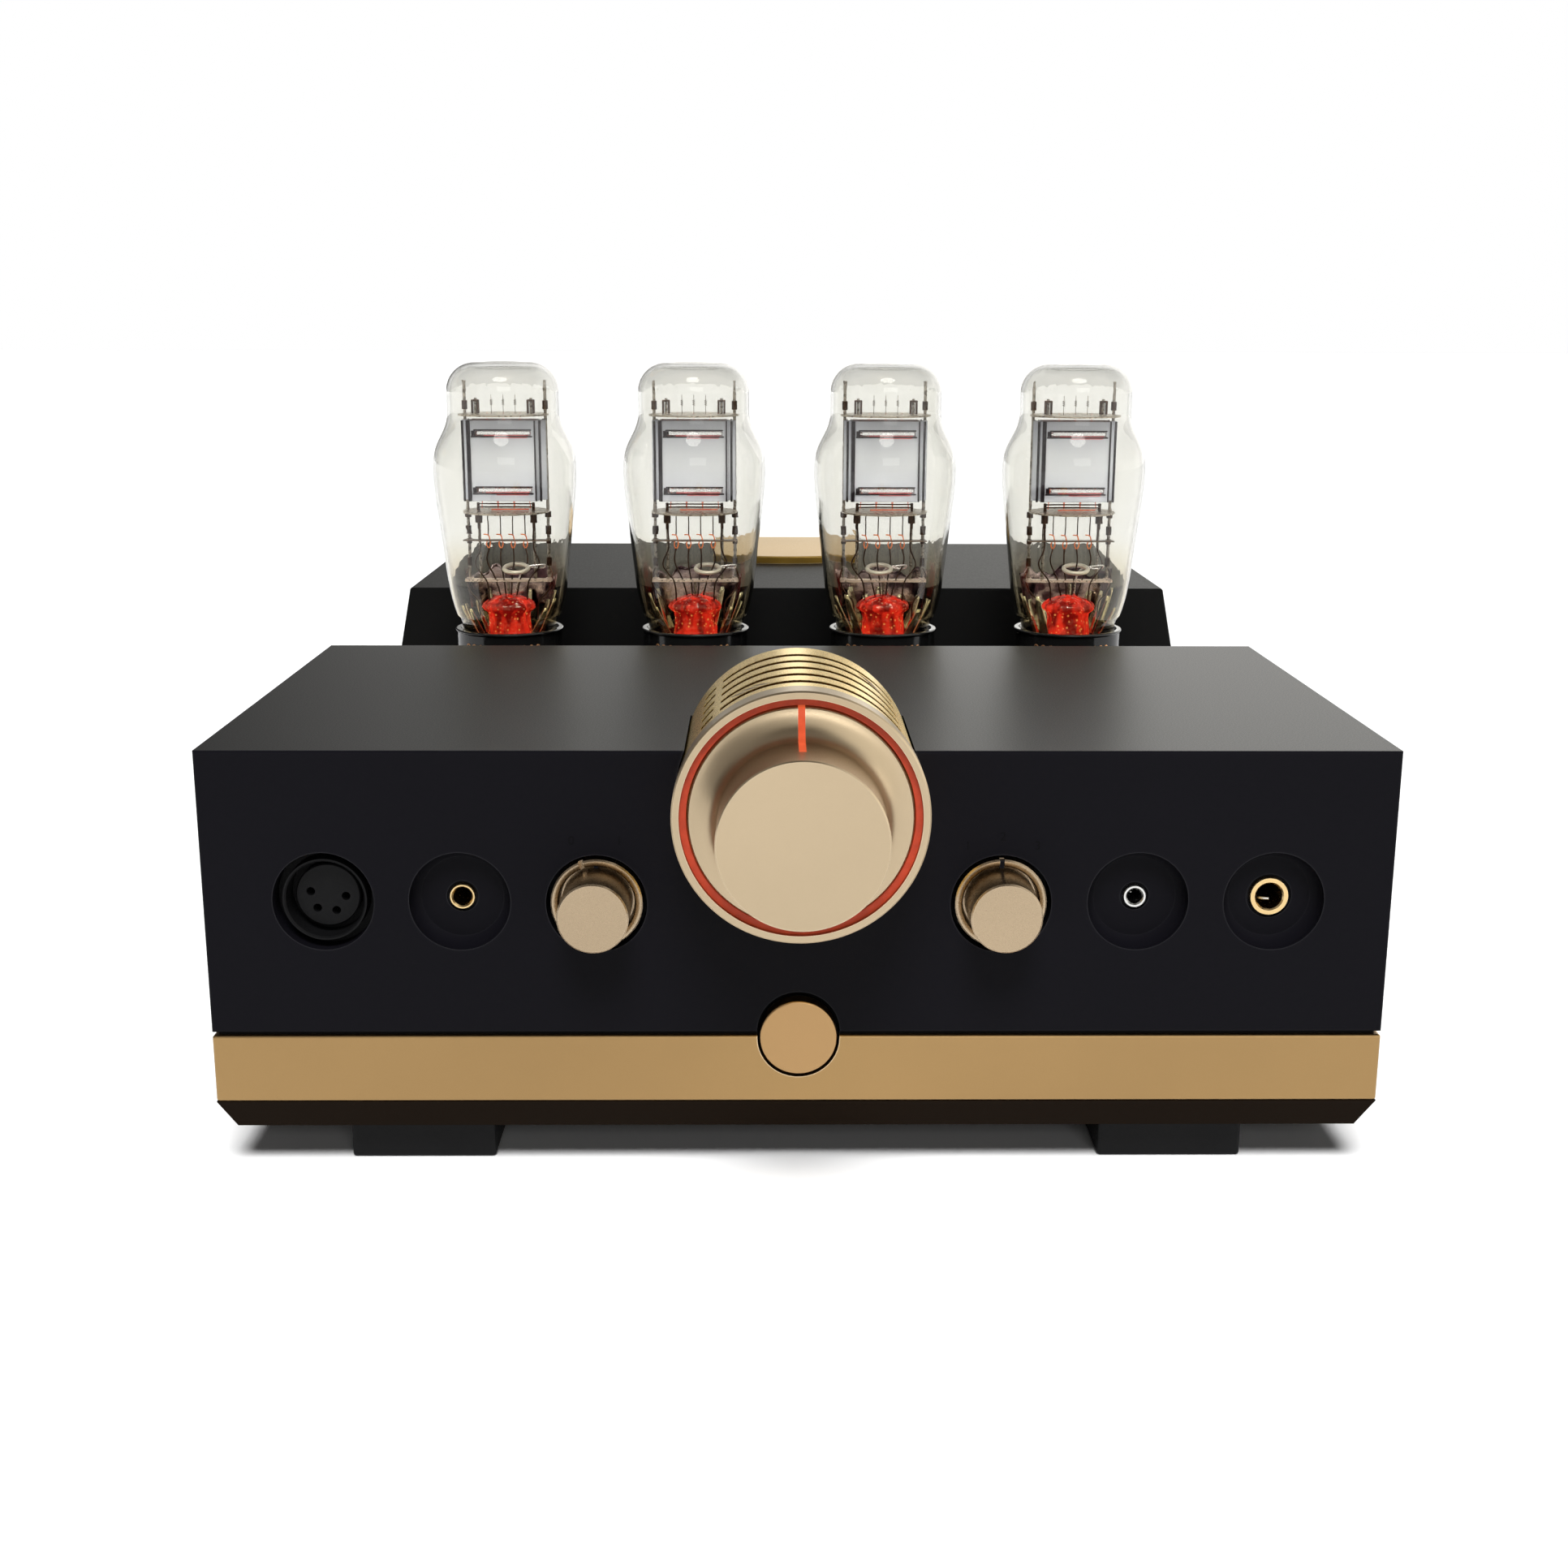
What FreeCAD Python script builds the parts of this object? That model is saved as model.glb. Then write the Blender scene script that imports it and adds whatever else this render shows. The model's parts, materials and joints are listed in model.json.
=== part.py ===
import FreeCAD, Part
import math
import os

os.makedirs("parts", exist_ok=True)

# Tube headphone amplifier: a low chassis with a front control housing, four plug-in tubes standing
# in an open bay and a sloped transformer cover behind them. Millimetres, +Z up.
# While modelling, Y = 0 is the face of the front panel, Y grows towards the back, X = 0 is the middle
# of the panel and Z = 0 is the surface that the feet stand on. save() moves every part so that the
# origin lies under the middle of the overall length.

V = FreeCAD.Vector
X_AXIS = V(1, 0, 0)
Y_AXIS = V(0, 1, 0)
Z_AXIS = V(0, 0, 1)

# Overall case
WIDTH = 300.0
HALF_WIDTH = WIDTH / 2
DEPTH = 420.4
FOOT_HEIGHT = 11.7
PAN_TOP = 20.0
BELT_TOP = 38.0
SEAM_GAP = 0.9
PANEL_BOTTOM = BELT_TOP + SEAM_GAP
DECK_TOP = 78.0
SHEET = 2.0
BREAK = 0.7

# Front housing
PANEL_THICK = 8.0
BOX_BACK = 157.7
BOX_TOP = 112.7

LID_OVERLAP = 1.0
REAR_SCREW_X = 142.0
REAR_SCREW_Z = (46.0, 71.0)
REAR_TAB_HALF = 6.0
BEAM_BOTTOM = 60.0

# Bottom pan, belt and feet
PAN_INSET = 4.0
BELT_WALL = 4.0
LEDGE_INSET = 1.5
VENT_X = (-50.0, 50.0)
VENT_FIRST = 150.0
VENT_SLOT = (44.0, 3.0)
VENT_COUNT = 8
VENT_PITCH = 8.0
FOOT_SIZE = 38.0
FOOT_X = 99.0
FOOT_SETBACK = 10.0
FOOT_SCREW_R = 2.0
FOOT_SCREW_HEAD_R = 4.0
FOOT_WELL_R = 5.0
FOOT_WELL_DEPTH = 6.0
FOOT_SCREW_HEAD = 2.4
FOOT_BREAK = 1.0
STANDOFF_R = 3.0
STANDOFFS = [(x, y) for x in (-112.0, 0.0, 112.0) for y in (52.0, 246.0)]

# Small screws
SCREW_R = 1.5
SCREW_HEAD_R = 2.75
SCREW_HEAD = 1.7
SCREW_HOLE = 0.1
SCREW_REACH = 7.0
DRIVE_R = 1.1
DRIVE_DEPTH = 1.0

# Transformer cover and its plate
COVER_FRONT = 258.3
COVER_TOP = 116.75
COVER_SLOPE_SIDE = 6.5
COVER_SLOPE_END = 6.4
BADGE_HALF_WIDTH = 29.0
BADGE_FRONT = 339.0
BADGE_ARC_R = 60.0
BADGE_THICK = 3.1
BADGE_BREAK = 0.5
BADGE_BACK_GAP = 1.0

# Volume control, on an axis along Y
VOLUME_Z = 100.9
BARREL_R = 30.5
BARREL_BORE_R = 26.5
BARREL_FRONT = -14.0
BARREL_BACK = 43.5
BARREL_END_WALL = 4.0
GROOVE_COUNT = 5
GROOVE_FIRST = -5.4
GROOVE_PITCH = 9.25
GROOVE_WIDTH = 3.2
GROOVE_DEPTH = 1.1
GROOVE_SPANS = ((-40.0, 54.0), (-53.0, -44.5))
BARREL_SLACK = 0.5
BEZEL_R = 31.1
BEZEL_FRONT = -21.3
BEZEL_EDGE = 0.4
RING_OUTER_R = 29.2
RING_INNER_R = 27.5
RING_FRONT = -19.9
RING_SEAT = BARREL_FRONT - 1.5
KNOB_FLANGE_R = 27.1
KNOB_BACK = BARREL_FRONT - 0.5
KNOB_RIM = -20.8
KNOB_EDGE = 0.3
KNOB_WALL = 3.0
KNOB_HUB_R = 7.0
KNOB_BARREL_R = 20.05
KNOB_FLARE_FRONT = -29.0
KNOB_FRONT = -46.0
POINTER_WIDTH = 1.7
POINTER_DEPTH = 0.9
POINTER_FRONT = -37.0
SHAFT_R = 3.0
PRESS_FIT = 0.02
RUN = 0.05
POT_NECK_R = 4.5
POT_NUT = (7.5, 3.0)
POT_SIZE = 27.0
POT_DEPTH = 24.0
POT_DROP = 4.0

# Small selector knobs
SELECTOR_X = 51.0
SELECTOR_Z = 73.3
HOLE_R = 12.75
SELECTOR_FLANGE_R = 11.6
SELECTOR_CAP_R = 8.9
SELECTOR_FRONT = -12.7
SELECTOR_RIM = -0.25
SELECTOR_RIM_R = 10.9
SELECTOR_RIM_ROUND = 1.3
SELECTOR_WELL_R = 9.3
SELECTOR_WELL_DEPTH = 4.4
SELECTOR_EDGE = 0.4
SELECTOR_BACK = 6.0
SWITCH_FRONT = 8.0
SWITCH_BACK = 30.0
SWITCH_SIZE = 32.0
SWITCH_BODY_R = 12.0
SWITCH_NECK_R = 5.0
LEFT_TURN = -20.0
NOTCH_WIDTH = 1.2
NOTCH_LENGTH = 2.4
NOTCH_DEPTH = 1.6

# Sockets on the front panel
SOCKET_Z = 73.9
XLR_X = -119.7
JACK_44_X = -85.4
JACK_35_X = 85.6
JACK_635_X = 120.0
DISH_DEPTH = 5.0
DISH_FLOOR_R = 10.5
DISH_WALL = (12.2, 3.4)
DISH_MOAT = 0.7
DISH_MOAT_DEPTH = 1.0
SLEEVE_STAND = 0.7
# outer radius of the sleeve, radius of its bore, length of the sleeve, width and length of the body
JACK_44 = (3.3, 2.4, 12.0, 10.0, 30.0)
JACK_35 = (2.95, 1.95, 10.0, 8.0, 22.0)
JACK_635 = (5.0, 3.4, 15.0, 16.0, 36.0)
JACK_LIP = 0.35
XLR_FACE_R = 8.2
XLR_FACE_Y = 6.0
XLR_MOAT_R = 9.9
XLR_MOAT_Y = 10.0
XLR_SHELL_R = 11.4
XLR_SHELL_BACK = 26.0
XLR_PIN_CIRCLE_R = 4.5
XLR_PIN_ANGLES = (168.0, 230.0, 295.0, 356.0)
XLR_LIP_Y = 1.8
XLR_LIP_R = 10.65
XLR_TRENCH_Y = 6.8
XLR_HOLE_R = 1.1
XLR_HOLE_END = 20.0

# Power button, a push switch across the seam of panel and belt
BUTTON_Z = 37.3
BUTTON_R = 9.95
BELT_HOLE_R = 10.55
PANEL_HOLE_R = 10.6
PANEL_HOLE_RISE = 1.9
BUTTON_FRONT = 0.0
BUTTON_EDGE = 0.6
BUTTON_BACK = 4.6
BUTTON_TRAVEL = 2.0
BUTTON_ROD_END = 20.0

# Tubes
TUBE_X = (-98.4, -33.0, 33.0, 98.4)
TUBE_Y = 208.0
BASE_R = 18.3
BASE_BOTTOM = 83.8
BASE_TOP = 111.0
BASE_WALL = 2.1
PIN_CIRCLE_R = 8.7
PIN_BOTTOM = 68.0
PIN_RADII = (2.0, 2.0, 1.6, 1.6)
PIN_SLACK = 0.15
SOCKET_BODY_R = 15.5
SOCKET_COLLAR_R = 20.5
SOCKET_COLLAR = 2.4
SOCKET_BOTTOM = 63.0
LED_R = 2.5
LED_BOTTOM = 72.0
LED_SHOULDER = BASE_BOTTOM - LED_R - 0.5
GLASS_WALL = 1.0
GLASS_FOOT = 89.0
GLASS_TOP = 202.3
DOME_R = 90.0
DOME_EDGE_R = 8.5
NECK_R = 19.1
NECK_TOP = 192.3
NECK_BOTTOM = 183.5
# radius and height of the bulb below the neck, down to where it enters the base
BULB = ((20.2, 180.0), (22.7, 175.0), (24.2, 170.5), (24.6, 166.0), (24.0, 156.0),
        (22.5, 142.8), (21.1, 130.0), (19.9, 121.7), (18.3, 115.8), (16.2, 111.4))
ANODE_WIDTH = 23.6
ANODE_DEPTH = 13.0
ANODE_BOTTOM = 155.4
ANODE_TOP = 182.7
ANODE_SHEET = 0.6
UPPER_MICA_Z = 184.2
LOWER_MICA_Z = 151.2
MICA_THICK = 0.5
MICA_R = (15.5, 14.9)
ROD_X = 14.0
ROD_Y = 4.0
ROD_R = 0.55
ROD_TOP = 196.0
POST_X = 9.5
POST_R = 0.5
POST_TOP = 190.0
STEM_R = 4.6
STEM_FOOT_R = 13.6
STEM_TOP = 119.0
BRIDGE_Z = 127.0
BRIDGE_THICK = 0.8

# Rear connectors
REAR_Z = 58.6
RCA_X = (-46.0, -26.0, -4.0, 16.0)
RCA_R = 4.15
RCA_STAND = 9.6
REAR_XLR_X = (-118.0, -83.0)
IEC_X = 104.0
IEC_FLANGE = (50.0, 25.0)
IEC_BODY = (28.0, 20.0)
IEC_CAVITY = (24.4, 16.4)
IEC_CAVITY_DEPTH = 16.0
IEC_FLANGE_THICK = 2.6
IEC_SCREW_INSET = 5.0
XLR_BODY_R = 11.8
XLR_MOUTH_R = 9.4
XLR_FLANGE = (26.0, 31.0)
XLR_SCREW = (9.5, 12.0)
XLR_CONTACTS = (90, 210, 330)
XLR_CONTACT_CIRCLE_R = 5.2
XLR_CONTACT_R = 1.3
RCA_SHANK_R = 4.0
RCA_NUT_R = 6.5
RCA_CENTRE_R = 1.6
CUTOUT_SLACK = 0.2

# Electronics inside the case
BOARD_BOTTOM = 30.0
BOARD_THICK = 1.6
BOARD_HALF_WIDTH = 122.0
BOARD_ENDS = (42.0, 254.0)
CAPACITOR_X = (-78.0, -26.0, 26.0, 78.0)
CAPACITOR_Y = 120.0
CAPACITOR_R = 15.0
CAPACITOR_TOP = 74.0
TRANSFORMER_Y = 340.0
# width and height of the core, thickness of its stack, how far the winding bulges out of it
POWER_CORE = (96.0, 82.0, 46.0, 18.0)
OUTPUT_CORE = (66.0, 58.0, 34.0, 13.0)
OUTPUT_X = (-104.0, 104.0)

REAR_END = DEPTH + RCA_STAND
CENTRE_Y = (KNOB_FRONT + REAR_END) / 2


# ---------------------------------------------------------------- helpers

def block(x0, x1, y0, y1, z0, z1):
    return Part.makeBox(x1 - x0, y1 - y0, z1 - z0, V(x0, y0, z0))


def rod_y(radius, y0, y1, x, z):
    return Part.makeCylinder(radius, y1 - y0, V(x, y0, z), Y_AXIS)


def rod_z(radius, z0, z1, x, y):
    return Part.makeCylinder(radius, z1 - z0, V(x, y, z0), Z_AXIS)


def tube_y(outer, inner, y0, y1, x, z):
    return rod_y(outer, y0, y1, x, z).cut(rod_y(inner, y0 - 1, y1 + 1, x, z))


def tube_z(outer, inner, z0, z1, x, y):
    return rod_z(outer, z0, z1, x, y).cut(rod_z(inner, z0 - 1, z1 + 1, x, y))


def fuse(shapes):
    shapes = list(shapes)
    if len(shapes) == 1:
        return shapes[0]
    return shapes[0].multiFuse(shapes[1:]).removeSplitter()


def group(shapes):
    return Part.makeCompound(list(shapes))


def outline(start, steps):
    """Edges through (radius, height) points. A step of two points is an arc through the first."""
    edges = []
    here = V(start[0], 0, start[1])
    for step in steps:
        if isinstance(step[0], tuple):
            middle = V(step[0][0], 0, step[0][1])
            there = V(step[1][0], 0, step[1][1])
            edges.append(Part.Arc(here, middle, there).toShape())
        else:
            there = V(step[0], 0, step[1])
            edges.append(Part.makeLine(here, there))
        here = there
    return edges


def turned_z(start, steps, x, y):
    """Solid of revolution about a vertical axis from a closed (radius, height) outline."""
    face = Part.Face(Part.Wire(outline(start, steps + [start])))
    solid = face.revolve(V(0, 0, 0), Z_AXIS, 360)
    solid.translate(V(x, y, 0))
    return solid


def turned_y(start, steps, x, z):
    """Solid of revolution about an axis along Y from a closed (radius, Y) outline."""
    solid = turned_z(start, steps, 0, 0)
    solid.rotate(V(0, 0, 0), X_AXIS, -90)
    solid.translate(V(x, 0, z))
    return solid


def frustum(lower, upper):
    """Solid between two level rectangles, each (x0, x1, y0, y1, z)."""
    wires = []
    for x0, x1, y0, y1, z in (lower, upper):
        corners = [V(x0, y0, z), V(x1, y0, z), V(x1, y1, z), V(x0, y1, z), V(x0, y0, z)]
        wires.append(Part.makePolygon(corners))
    return Part.makeLoft(wires, True, True)


def soften(shape, radius, wanted):
    """Round the edges whose middle point and direction satisfy wanted(middle, direction)."""
    edges = []
    for edge in shape.Edges:
        middle = edge.valueAt((edge.FirstParameter + edge.LastParameter) / 2)
        direction = edge.tangentAt((edge.FirstParameter + edge.LastParameter) / 2)
        if wanted(middle, direction):
            edges.append(edge)
    return shape.makeFillet(radius, edges)


def near(value, target):
    return abs(value - target) < 0.01


def mirrored_pair(shape):
    return [shape, shape.mirror(V(0, 0, 0), X_AXIS)]


def save(name, shape):
    moved = shape.copy()
    moved.translate(V(0, -CENTRE_Y, 0))
    moved.exportStep("parts/" + name + ".step")


# ---------------------------------------------------------------- case

def foot_places():
    back = DEPTH - FOOT_SETBACK - FOOT_SIZE
    for x in (-FOOT_X, FOOT_X):
        for y in (FOOT_SETBACK, back):
            yield x, y + FOOT_SIZE / 2


def feet():
    shapes = []
    for x, y in foot_places():
        half = FOOT_SIZE / 2
        foot = block(x - half, x + half, y - half, y + half, 0, FOOT_HEIGHT)
        foot = soften(foot, FOOT_BREAK, lambda m, d: abs(d.z) > 0.9 or near(m.z, 0))
        foot = foot.cut(rod_z(FOOT_WELL_R, -1, FOOT_WELL_DEPTH, x, y))
        shapes.append(foot.cut(rod_z(FOOT_SCREW_R + 0.2, 0, FOOT_HEIGHT + 1, x, y)))
    return group(shapes)


def bottom_pan():
    inset = PAN_INSET
    outer = frustum(
        (-HALF_WIDTH + inset, HALF_WIDTH - inset, inset, DEPTH - inset, FOOT_HEIGHT),
        (-HALF_WIDTH, HALF_WIDTH, 0, DEPTH, PAN_TOP))
    inset = PAN_INSET + SHEET
    inner = frustum(
        (-HALF_WIDTH + inset, HALF_WIDTH - inset, inset, DEPTH - inset, FOOT_HEIGHT + SHEET),
        (-HALF_WIDTH + SHEET, HALF_WIDTH - SHEET, SHEET, DEPTH - SHEET, PAN_TOP))
    pan = outer.cut(inner)
    for x in VENT_X:
        for i in range(VENT_COUNT):
            y = VENT_FIRST + i * VENT_PITCH
            slot = block(x - VENT_SLOT[0] / 2, x + VENT_SLOT[0] / 2, y, y + VENT_SLOT[1],
                         FOOT_HEIGHT - 1, FOOT_HEIGHT + SHEET + 1)
            pan = pan.cut(slot)
    posts = [rod_z(STANDOFF_R, FOOT_HEIGHT + SHEET - 0.5, BOARD_BOTTOM, x, y) for x, y in STANDOFFS]
    pan = fuse([pan] + posts)
    for x, y in foot_places():
        pan = pan.cut(rod_z(FOOT_SCREW_R + 0.1, FOOT_HEIGHT - 1, PAN_TOP, x, y))
    return pan


def button_hole(radius, rise):
    return rod_y(radius, -5, PANEL_THICK + 5, 0, BUTTON_Z + rise)


def gold_belt():
    belt = block(-HALF_WIDTH, HALF_WIDTH, 0, DEPTH, PAN_TOP, BELT_TOP)
    belt = soften(belt, BREAK, lambda m, d: True)
    inner = block(-HALF_WIDTH + BELT_WALL, HALF_WIDTH - BELT_WALL,
                  BELT_WALL, DEPTH - BELT_WALL, PAN_TOP - 1, BELT_TOP + 1)
    return belt.cut(inner).cut(button_hole(BELT_HOLE_R, 0))


def dish(x):
    """Soft hollow turned into the panel around a jack."""
    return turned_y((0, -1), [(HOLE_R, -1), (HOLE_R, 0), (DISH_WALL, (DISH_FLOOR_R, DISH_DEPTH)),
                              (0, DISH_DEPTH)], x, SOCKET_Z)


def front_panel():
    panel = block(-HALF_WIDTH, HALF_WIDTH, 0, PANEL_THICK, PANEL_BOTTOM, BOX_TOP)
    panel = soften(panel, BREAK, lambda m, d: near(m.y, 0) or abs(d.z) > 0.9 and m.y < 1)
    panel = panel.cut(block(-HALF_WIDTH - 1, HALF_WIDTH + 1, LID_OVERLAP, PANEL_THICK + 1,
                            BOX_TOP - SHEET, BOX_TOP + 1))
    panel = panel.cut(rod_y(BARREL_R + BARREL_SLACK, -1, PANEL_THICK + 1, 0, VOLUME_Z))
    for x in (-SELECTOR_X, SELECTOR_X):
        panel = panel.cut(rod_y(HOLE_R, -1, PANEL_THICK + 1, x, SELECTOR_Z))
    panel = panel.cut(rod_y(HOLE_R, -1, PANEL_THICK + 1, XLR_X, SOCKET_Z))
    for x, jack in ((JACK_44_X, JACK_44), (JACK_35_X, JACK_35), (JACK_635_X, JACK_635)):
        sleeve_r = jack[0]
        panel = panel.cut(dish(x))
        panel = panel.cut(rod_y(sleeve_r + DISH_MOAT, 0, DISH_DEPTH + DISH_MOAT_DEPTH, x, SOCKET_Z))
        panel = panel.cut(rod_y(sleeve_r + RUN, -1, PANEL_THICK + 1, x, SOCKET_Z))
    return panel.cut(button_hole(PANEL_HOLE_R, PANEL_HOLE_RISE))


def front_box_cover():
    outer = block(-HALF_WIDTH, HALF_WIDTH, PANEL_THICK, BOX_BACK, DECK_TOP, BOX_TOP)
    outer = soften(outer, BREAK, lambda m, d: near(m.z, BOX_TOP) and m.y > PANEL_THICK + 1
                   and abs(d.x) > 0.9 or abs(d.z) > 0.9 and near(m.y, BOX_BACK))
    inner = block(-HALF_WIDTH + SHEET, HALF_WIDTH - SHEET, PANEL_THICK - 1, BOX_BACK - SHEET,
                  DECK_TOP - 1, BOX_TOP - SHEET)
    lip = block(-HALF_WIDTH, HALF_WIDTH, LID_OVERLAP, PANEL_THICK, BOX_TOP - SHEET, BOX_TOP)
    slot = rod_y(BARREL_R + BARREL_SLACK, 0, BARREL_BACK + BARREL_SLACK, 0, VOLUME_Z)
    return fuse([outer.cut(inner), lip]).cut(slot)


def main_chassis():
    """Side and front walls on a set-back ledge that makes the dark seam above the belt."""
    outer = block(-HALF_WIDTH, HALF_WIDTH, PANEL_THICK, DEPTH - SHEET, PANEL_BOTTOM, DECK_TOP)
    inner = block(-HALF_WIDTH + SHEET, HALF_WIDTH - SHEET, PANEL_THICK - 1, DEPTH,
                  PANEL_BOTTOM - 1, DECK_TOP + 1)
    ledge = block(-HALF_WIDTH + LEDGE_INSET, HALF_WIDTH - LEDGE_INSET,
                  LEDGE_INSET, DEPTH - LEDGE_INSET, BELT_TOP, PANEL_BOTTOM)
    ledge = ledge.cut(block(-HALF_WIDTH + BELT_WALL, HALF_WIDTH - BELT_WALL,
                            BELT_WALL, DEPTH - BELT_WALL, BELT_TOP - 1, PANEL_BOTTOM + 1))
    beams = []
    for y in (BOX_BACK - SHEET, COVER_FRONT):
        beams.append(block(-HALF_WIDTH + 1, HALF_WIDTH - 1, y, y + SHEET,
                           BEAM_BOTTOM, DECK_TOP - SHEET))
    tab = block(REAR_SCREW_X - REAR_TAB_HALF, HALF_WIDTH - 1, DEPTH - 2 * SHEET, DEPTH - SHEET,
                PANEL_BOTTOM + 2, DECK_TOP - 4)
    frame = fuse([outer.cut(inner), ledge] + beams + mirrored_pair(tab))
    for x in (-REAR_SCREW_X, REAR_SCREW_X):
        for z in REAR_SCREW_Z:
            frame = frame.cut(rod_y(SCREW_R + SCREW_HOLE, DEPTH - 10, DEPTH, x, z))
    return frame.cut(button_hole(PANEL_HOLE_R, PANEL_HOLE_RISE)).cut(button_hole(BELT_HOLE_R, 0))


def tube_deck():
    deck = block(-HALF_WIDTH + SHEET, HALF_WIDTH - SHEET, BOX_BACK - SHEET, COVER_FRONT + 12,
                 DECK_TOP - SHEET, DECK_TOP)
    for x in TUBE_X:
        deck = deck.cut(rod_z(SOCKET_BODY_R + CUTOUT_SLACK, DECK_TOP - 5, DECK_TOP + 1, x, TUBE_Y))
    return deck


def transformer_cover():
    side = COVER_SLOPE_SIDE
    end = COVER_SLOPE_END
    outer = frustum((-HALF_WIDTH, HALF_WIDTH, COVER_FRONT, DEPTH, DECK_TOP),
                    (-HALF_WIDTH + side, HALF_WIDTH - side, COVER_FRONT + end, DEPTH - end, COVER_TOP))
    outer = soften(outer, 1.0, lambda m, d: m.z > DECK_TOP + 0.1)
    wall = SHEET
    inner = frustum((-HALF_WIDTH + wall, HALF_WIDTH - wall, COVER_FRONT + wall, DEPTH - wall, DECK_TOP),
                    (-HALF_WIDTH + side + wall, HALF_WIDTH - side - wall,
                     COVER_FRONT + end + wall, DEPTH - end - wall, COVER_TOP - wall))
    return outer.cut(inner)


def cover_badge():
    back = DEPTH - COVER_SLOPE_END - BADGE_BACK_GAP
    sag = BADGE_ARC_R - math.sqrt(BADGE_ARC_R ** 2 - BADGE_HALF_WIDTH ** 2)
    left = V(-BADGE_HALF_WIDTH, BADGE_FRONT + sag, COVER_TOP)
    right = V(BADGE_HALF_WIDTH, BADGE_FRONT + sag, COVER_TOP)
    back_left = V(-BADGE_HALF_WIDTH, back, COVER_TOP)
    back_right = V(BADGE_HALF_WIDTH, back, COVER_TOP)
    front = Part.Arc(left, V(0, BADGE_FRONT, COVER_TOP), right).toShape()
    sides = Part.makePolygon([right, back_right, back_left, left])
    plate = Part.Face(Part.Wire([front] + sides.Edges)).extrude(V(0, 0, BADGE_THICK))
    return soften(plate, BADGE_BREAK, lambda m, d: near(m.z, COVER_TOP + BADGE_THICK))


# ---------------------------------------------------------------- volume control

def groove(y, start, end):
    """Arc-shaped slot in the top of the barrel, between two angles from the vertical."""
    ring = tube_y(BARREL_R + 1, BARREL_R - GROOVE_DEPTH, y - GROOVE_WIDTH / 2, y + GROOVE_WIDTH / 2,
                  0, 0)
    reach = 2 * BARREL_R
    corners = [V(0, y - GROOVE_WIDTH, 0)]
    middle = (start + end) / 2
    for angle in (start, middle, end):
        a = math.radians(angle)
        corners.append(V(reach * math.sin(a), y - GROOVE_WIDTH, reach * math.cos(a)))
    corners.append(corners[0])
    wedge = Part.Face(Part.makePolygon(corners)).extrude(V(0, 2 * GROOVE_WIDTH, 0))
    slot = ring.common(wedge)
    slot.translate(V(0, 0, VOLUME_Z))
    return slot


def volume_barrel():
    barrel = tube_y(BARREL_R, BARREL_BORE_R, BARREL_FRONT, BARREL_BACK - BARREL_END_WALL, 0, VOLUME_Z)
    end = rod_y(BARREL_R, BARREL_BACK - BARREL_END_WALL, BARREL_BACK, 0, VOLUME_Z)
    barrel = fuse([barrel, end])
    barrel = soften(barrel, BREAK, lambda m, d: near(m.y, BARREL_BACK))
    grooves = []
    for i in range(GROOVE_COUNT):
        for start, finish in GROOVE_SPANS:
            grooves.append(groove(GROOVE_FIRST + i * GROOVE_PITCH, start, finish))
    barrel = barrel.cut(grooves)
    return barrel.cut(rod_y(POT_NECK_R + 0.1, BARREL_FRONT, BARREL_BACK + 1, 0, VOLUME_Z))


def volume_bezel():
    """Ring that closes the front of the barrel and carries the light ring in a rebate."""
    return turned_y((RING_INNER_R, RING_SEAT),
                    [(RING_OUTER_R, RING_SEAT), (RING_OUTER_R, BEZEL_FRONT),
                     (BEZEL_R - BEZEL_EDGE, BEZEL_FRONT), (BEZEL_R, BEZEL_FRONT + BEZEL_EDGE),
                     (BEZEL_R, BARREL_FRONT - BEZEL_EDGE), (BEZEL_R - BEZEL_EDGE, BARREL_FRONT),
                     (RING_INNER_R, BARREL_FRONT)], 0, VOLUME_Z)


def volume_light_ring():
    return tube_y(RING_OUTER_R - RUN, RING_INNER_R, RING_FRONT, RING_SEAT, 0, VOLUME_Z)


def volume_knob_blank():
    """Trumpet-shaped knob: a flat flange that sweeps up through a cove into a cylinder."""
    rise = KNOB_RIM - KNOB_FLARE_FRONT
    run = KNOB_FLANGE_R - KNOB_EDGE - KNOB_BARREL_R
    cove = (KNOB_BARREL_R + run * 0.3, KNOB_RIM - rise * 0.3)
    return turned_y((0, KNOB_BACK),
                    [(KNOB_FLANGE_R, KNOB_BACK), (KNOB_FLANGE_R, KNOB_RIM + KNOB_EDGE),
                     (KNOB_FLANGE_R - KNOB_EDGE, KNOB_RIM),
                     (cove, (KNOB_BARREL_R, KNOB_FLARE_FRONT)),
                     (KNOB_BARREL_R, KNOB_FRONT + KNOB_EDGE),
                     (KNOB_BARREL_R - KNOB_EDGE, KNOB_FRONT), (0, KNOB_FRONT)], 0, VOLUME_Z)


def pointer_window():
    """Upright slab above the axis in which the pointer inlay lies."""
    return block(-POINTER_WIDTH / 2, POINTER_WIDTH / 2, POINTER_FRONT, KNOB_BACK - 2,
                 VOLUME_Z + KNOB_BARREL_R - 2 * POINTER_DEPTH, VOLUME_Z + KNOB_FLANGE_R + 2)


def pointer_core():
    """The knob's own shape, smaller by the inlay's depth, left standing under the pointer."""
    smaller = volume_knob_blank()
    smaller.translate(V(0, POINTER_DEPTH, -POINTER_DEPTH))
    return smaller


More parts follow.
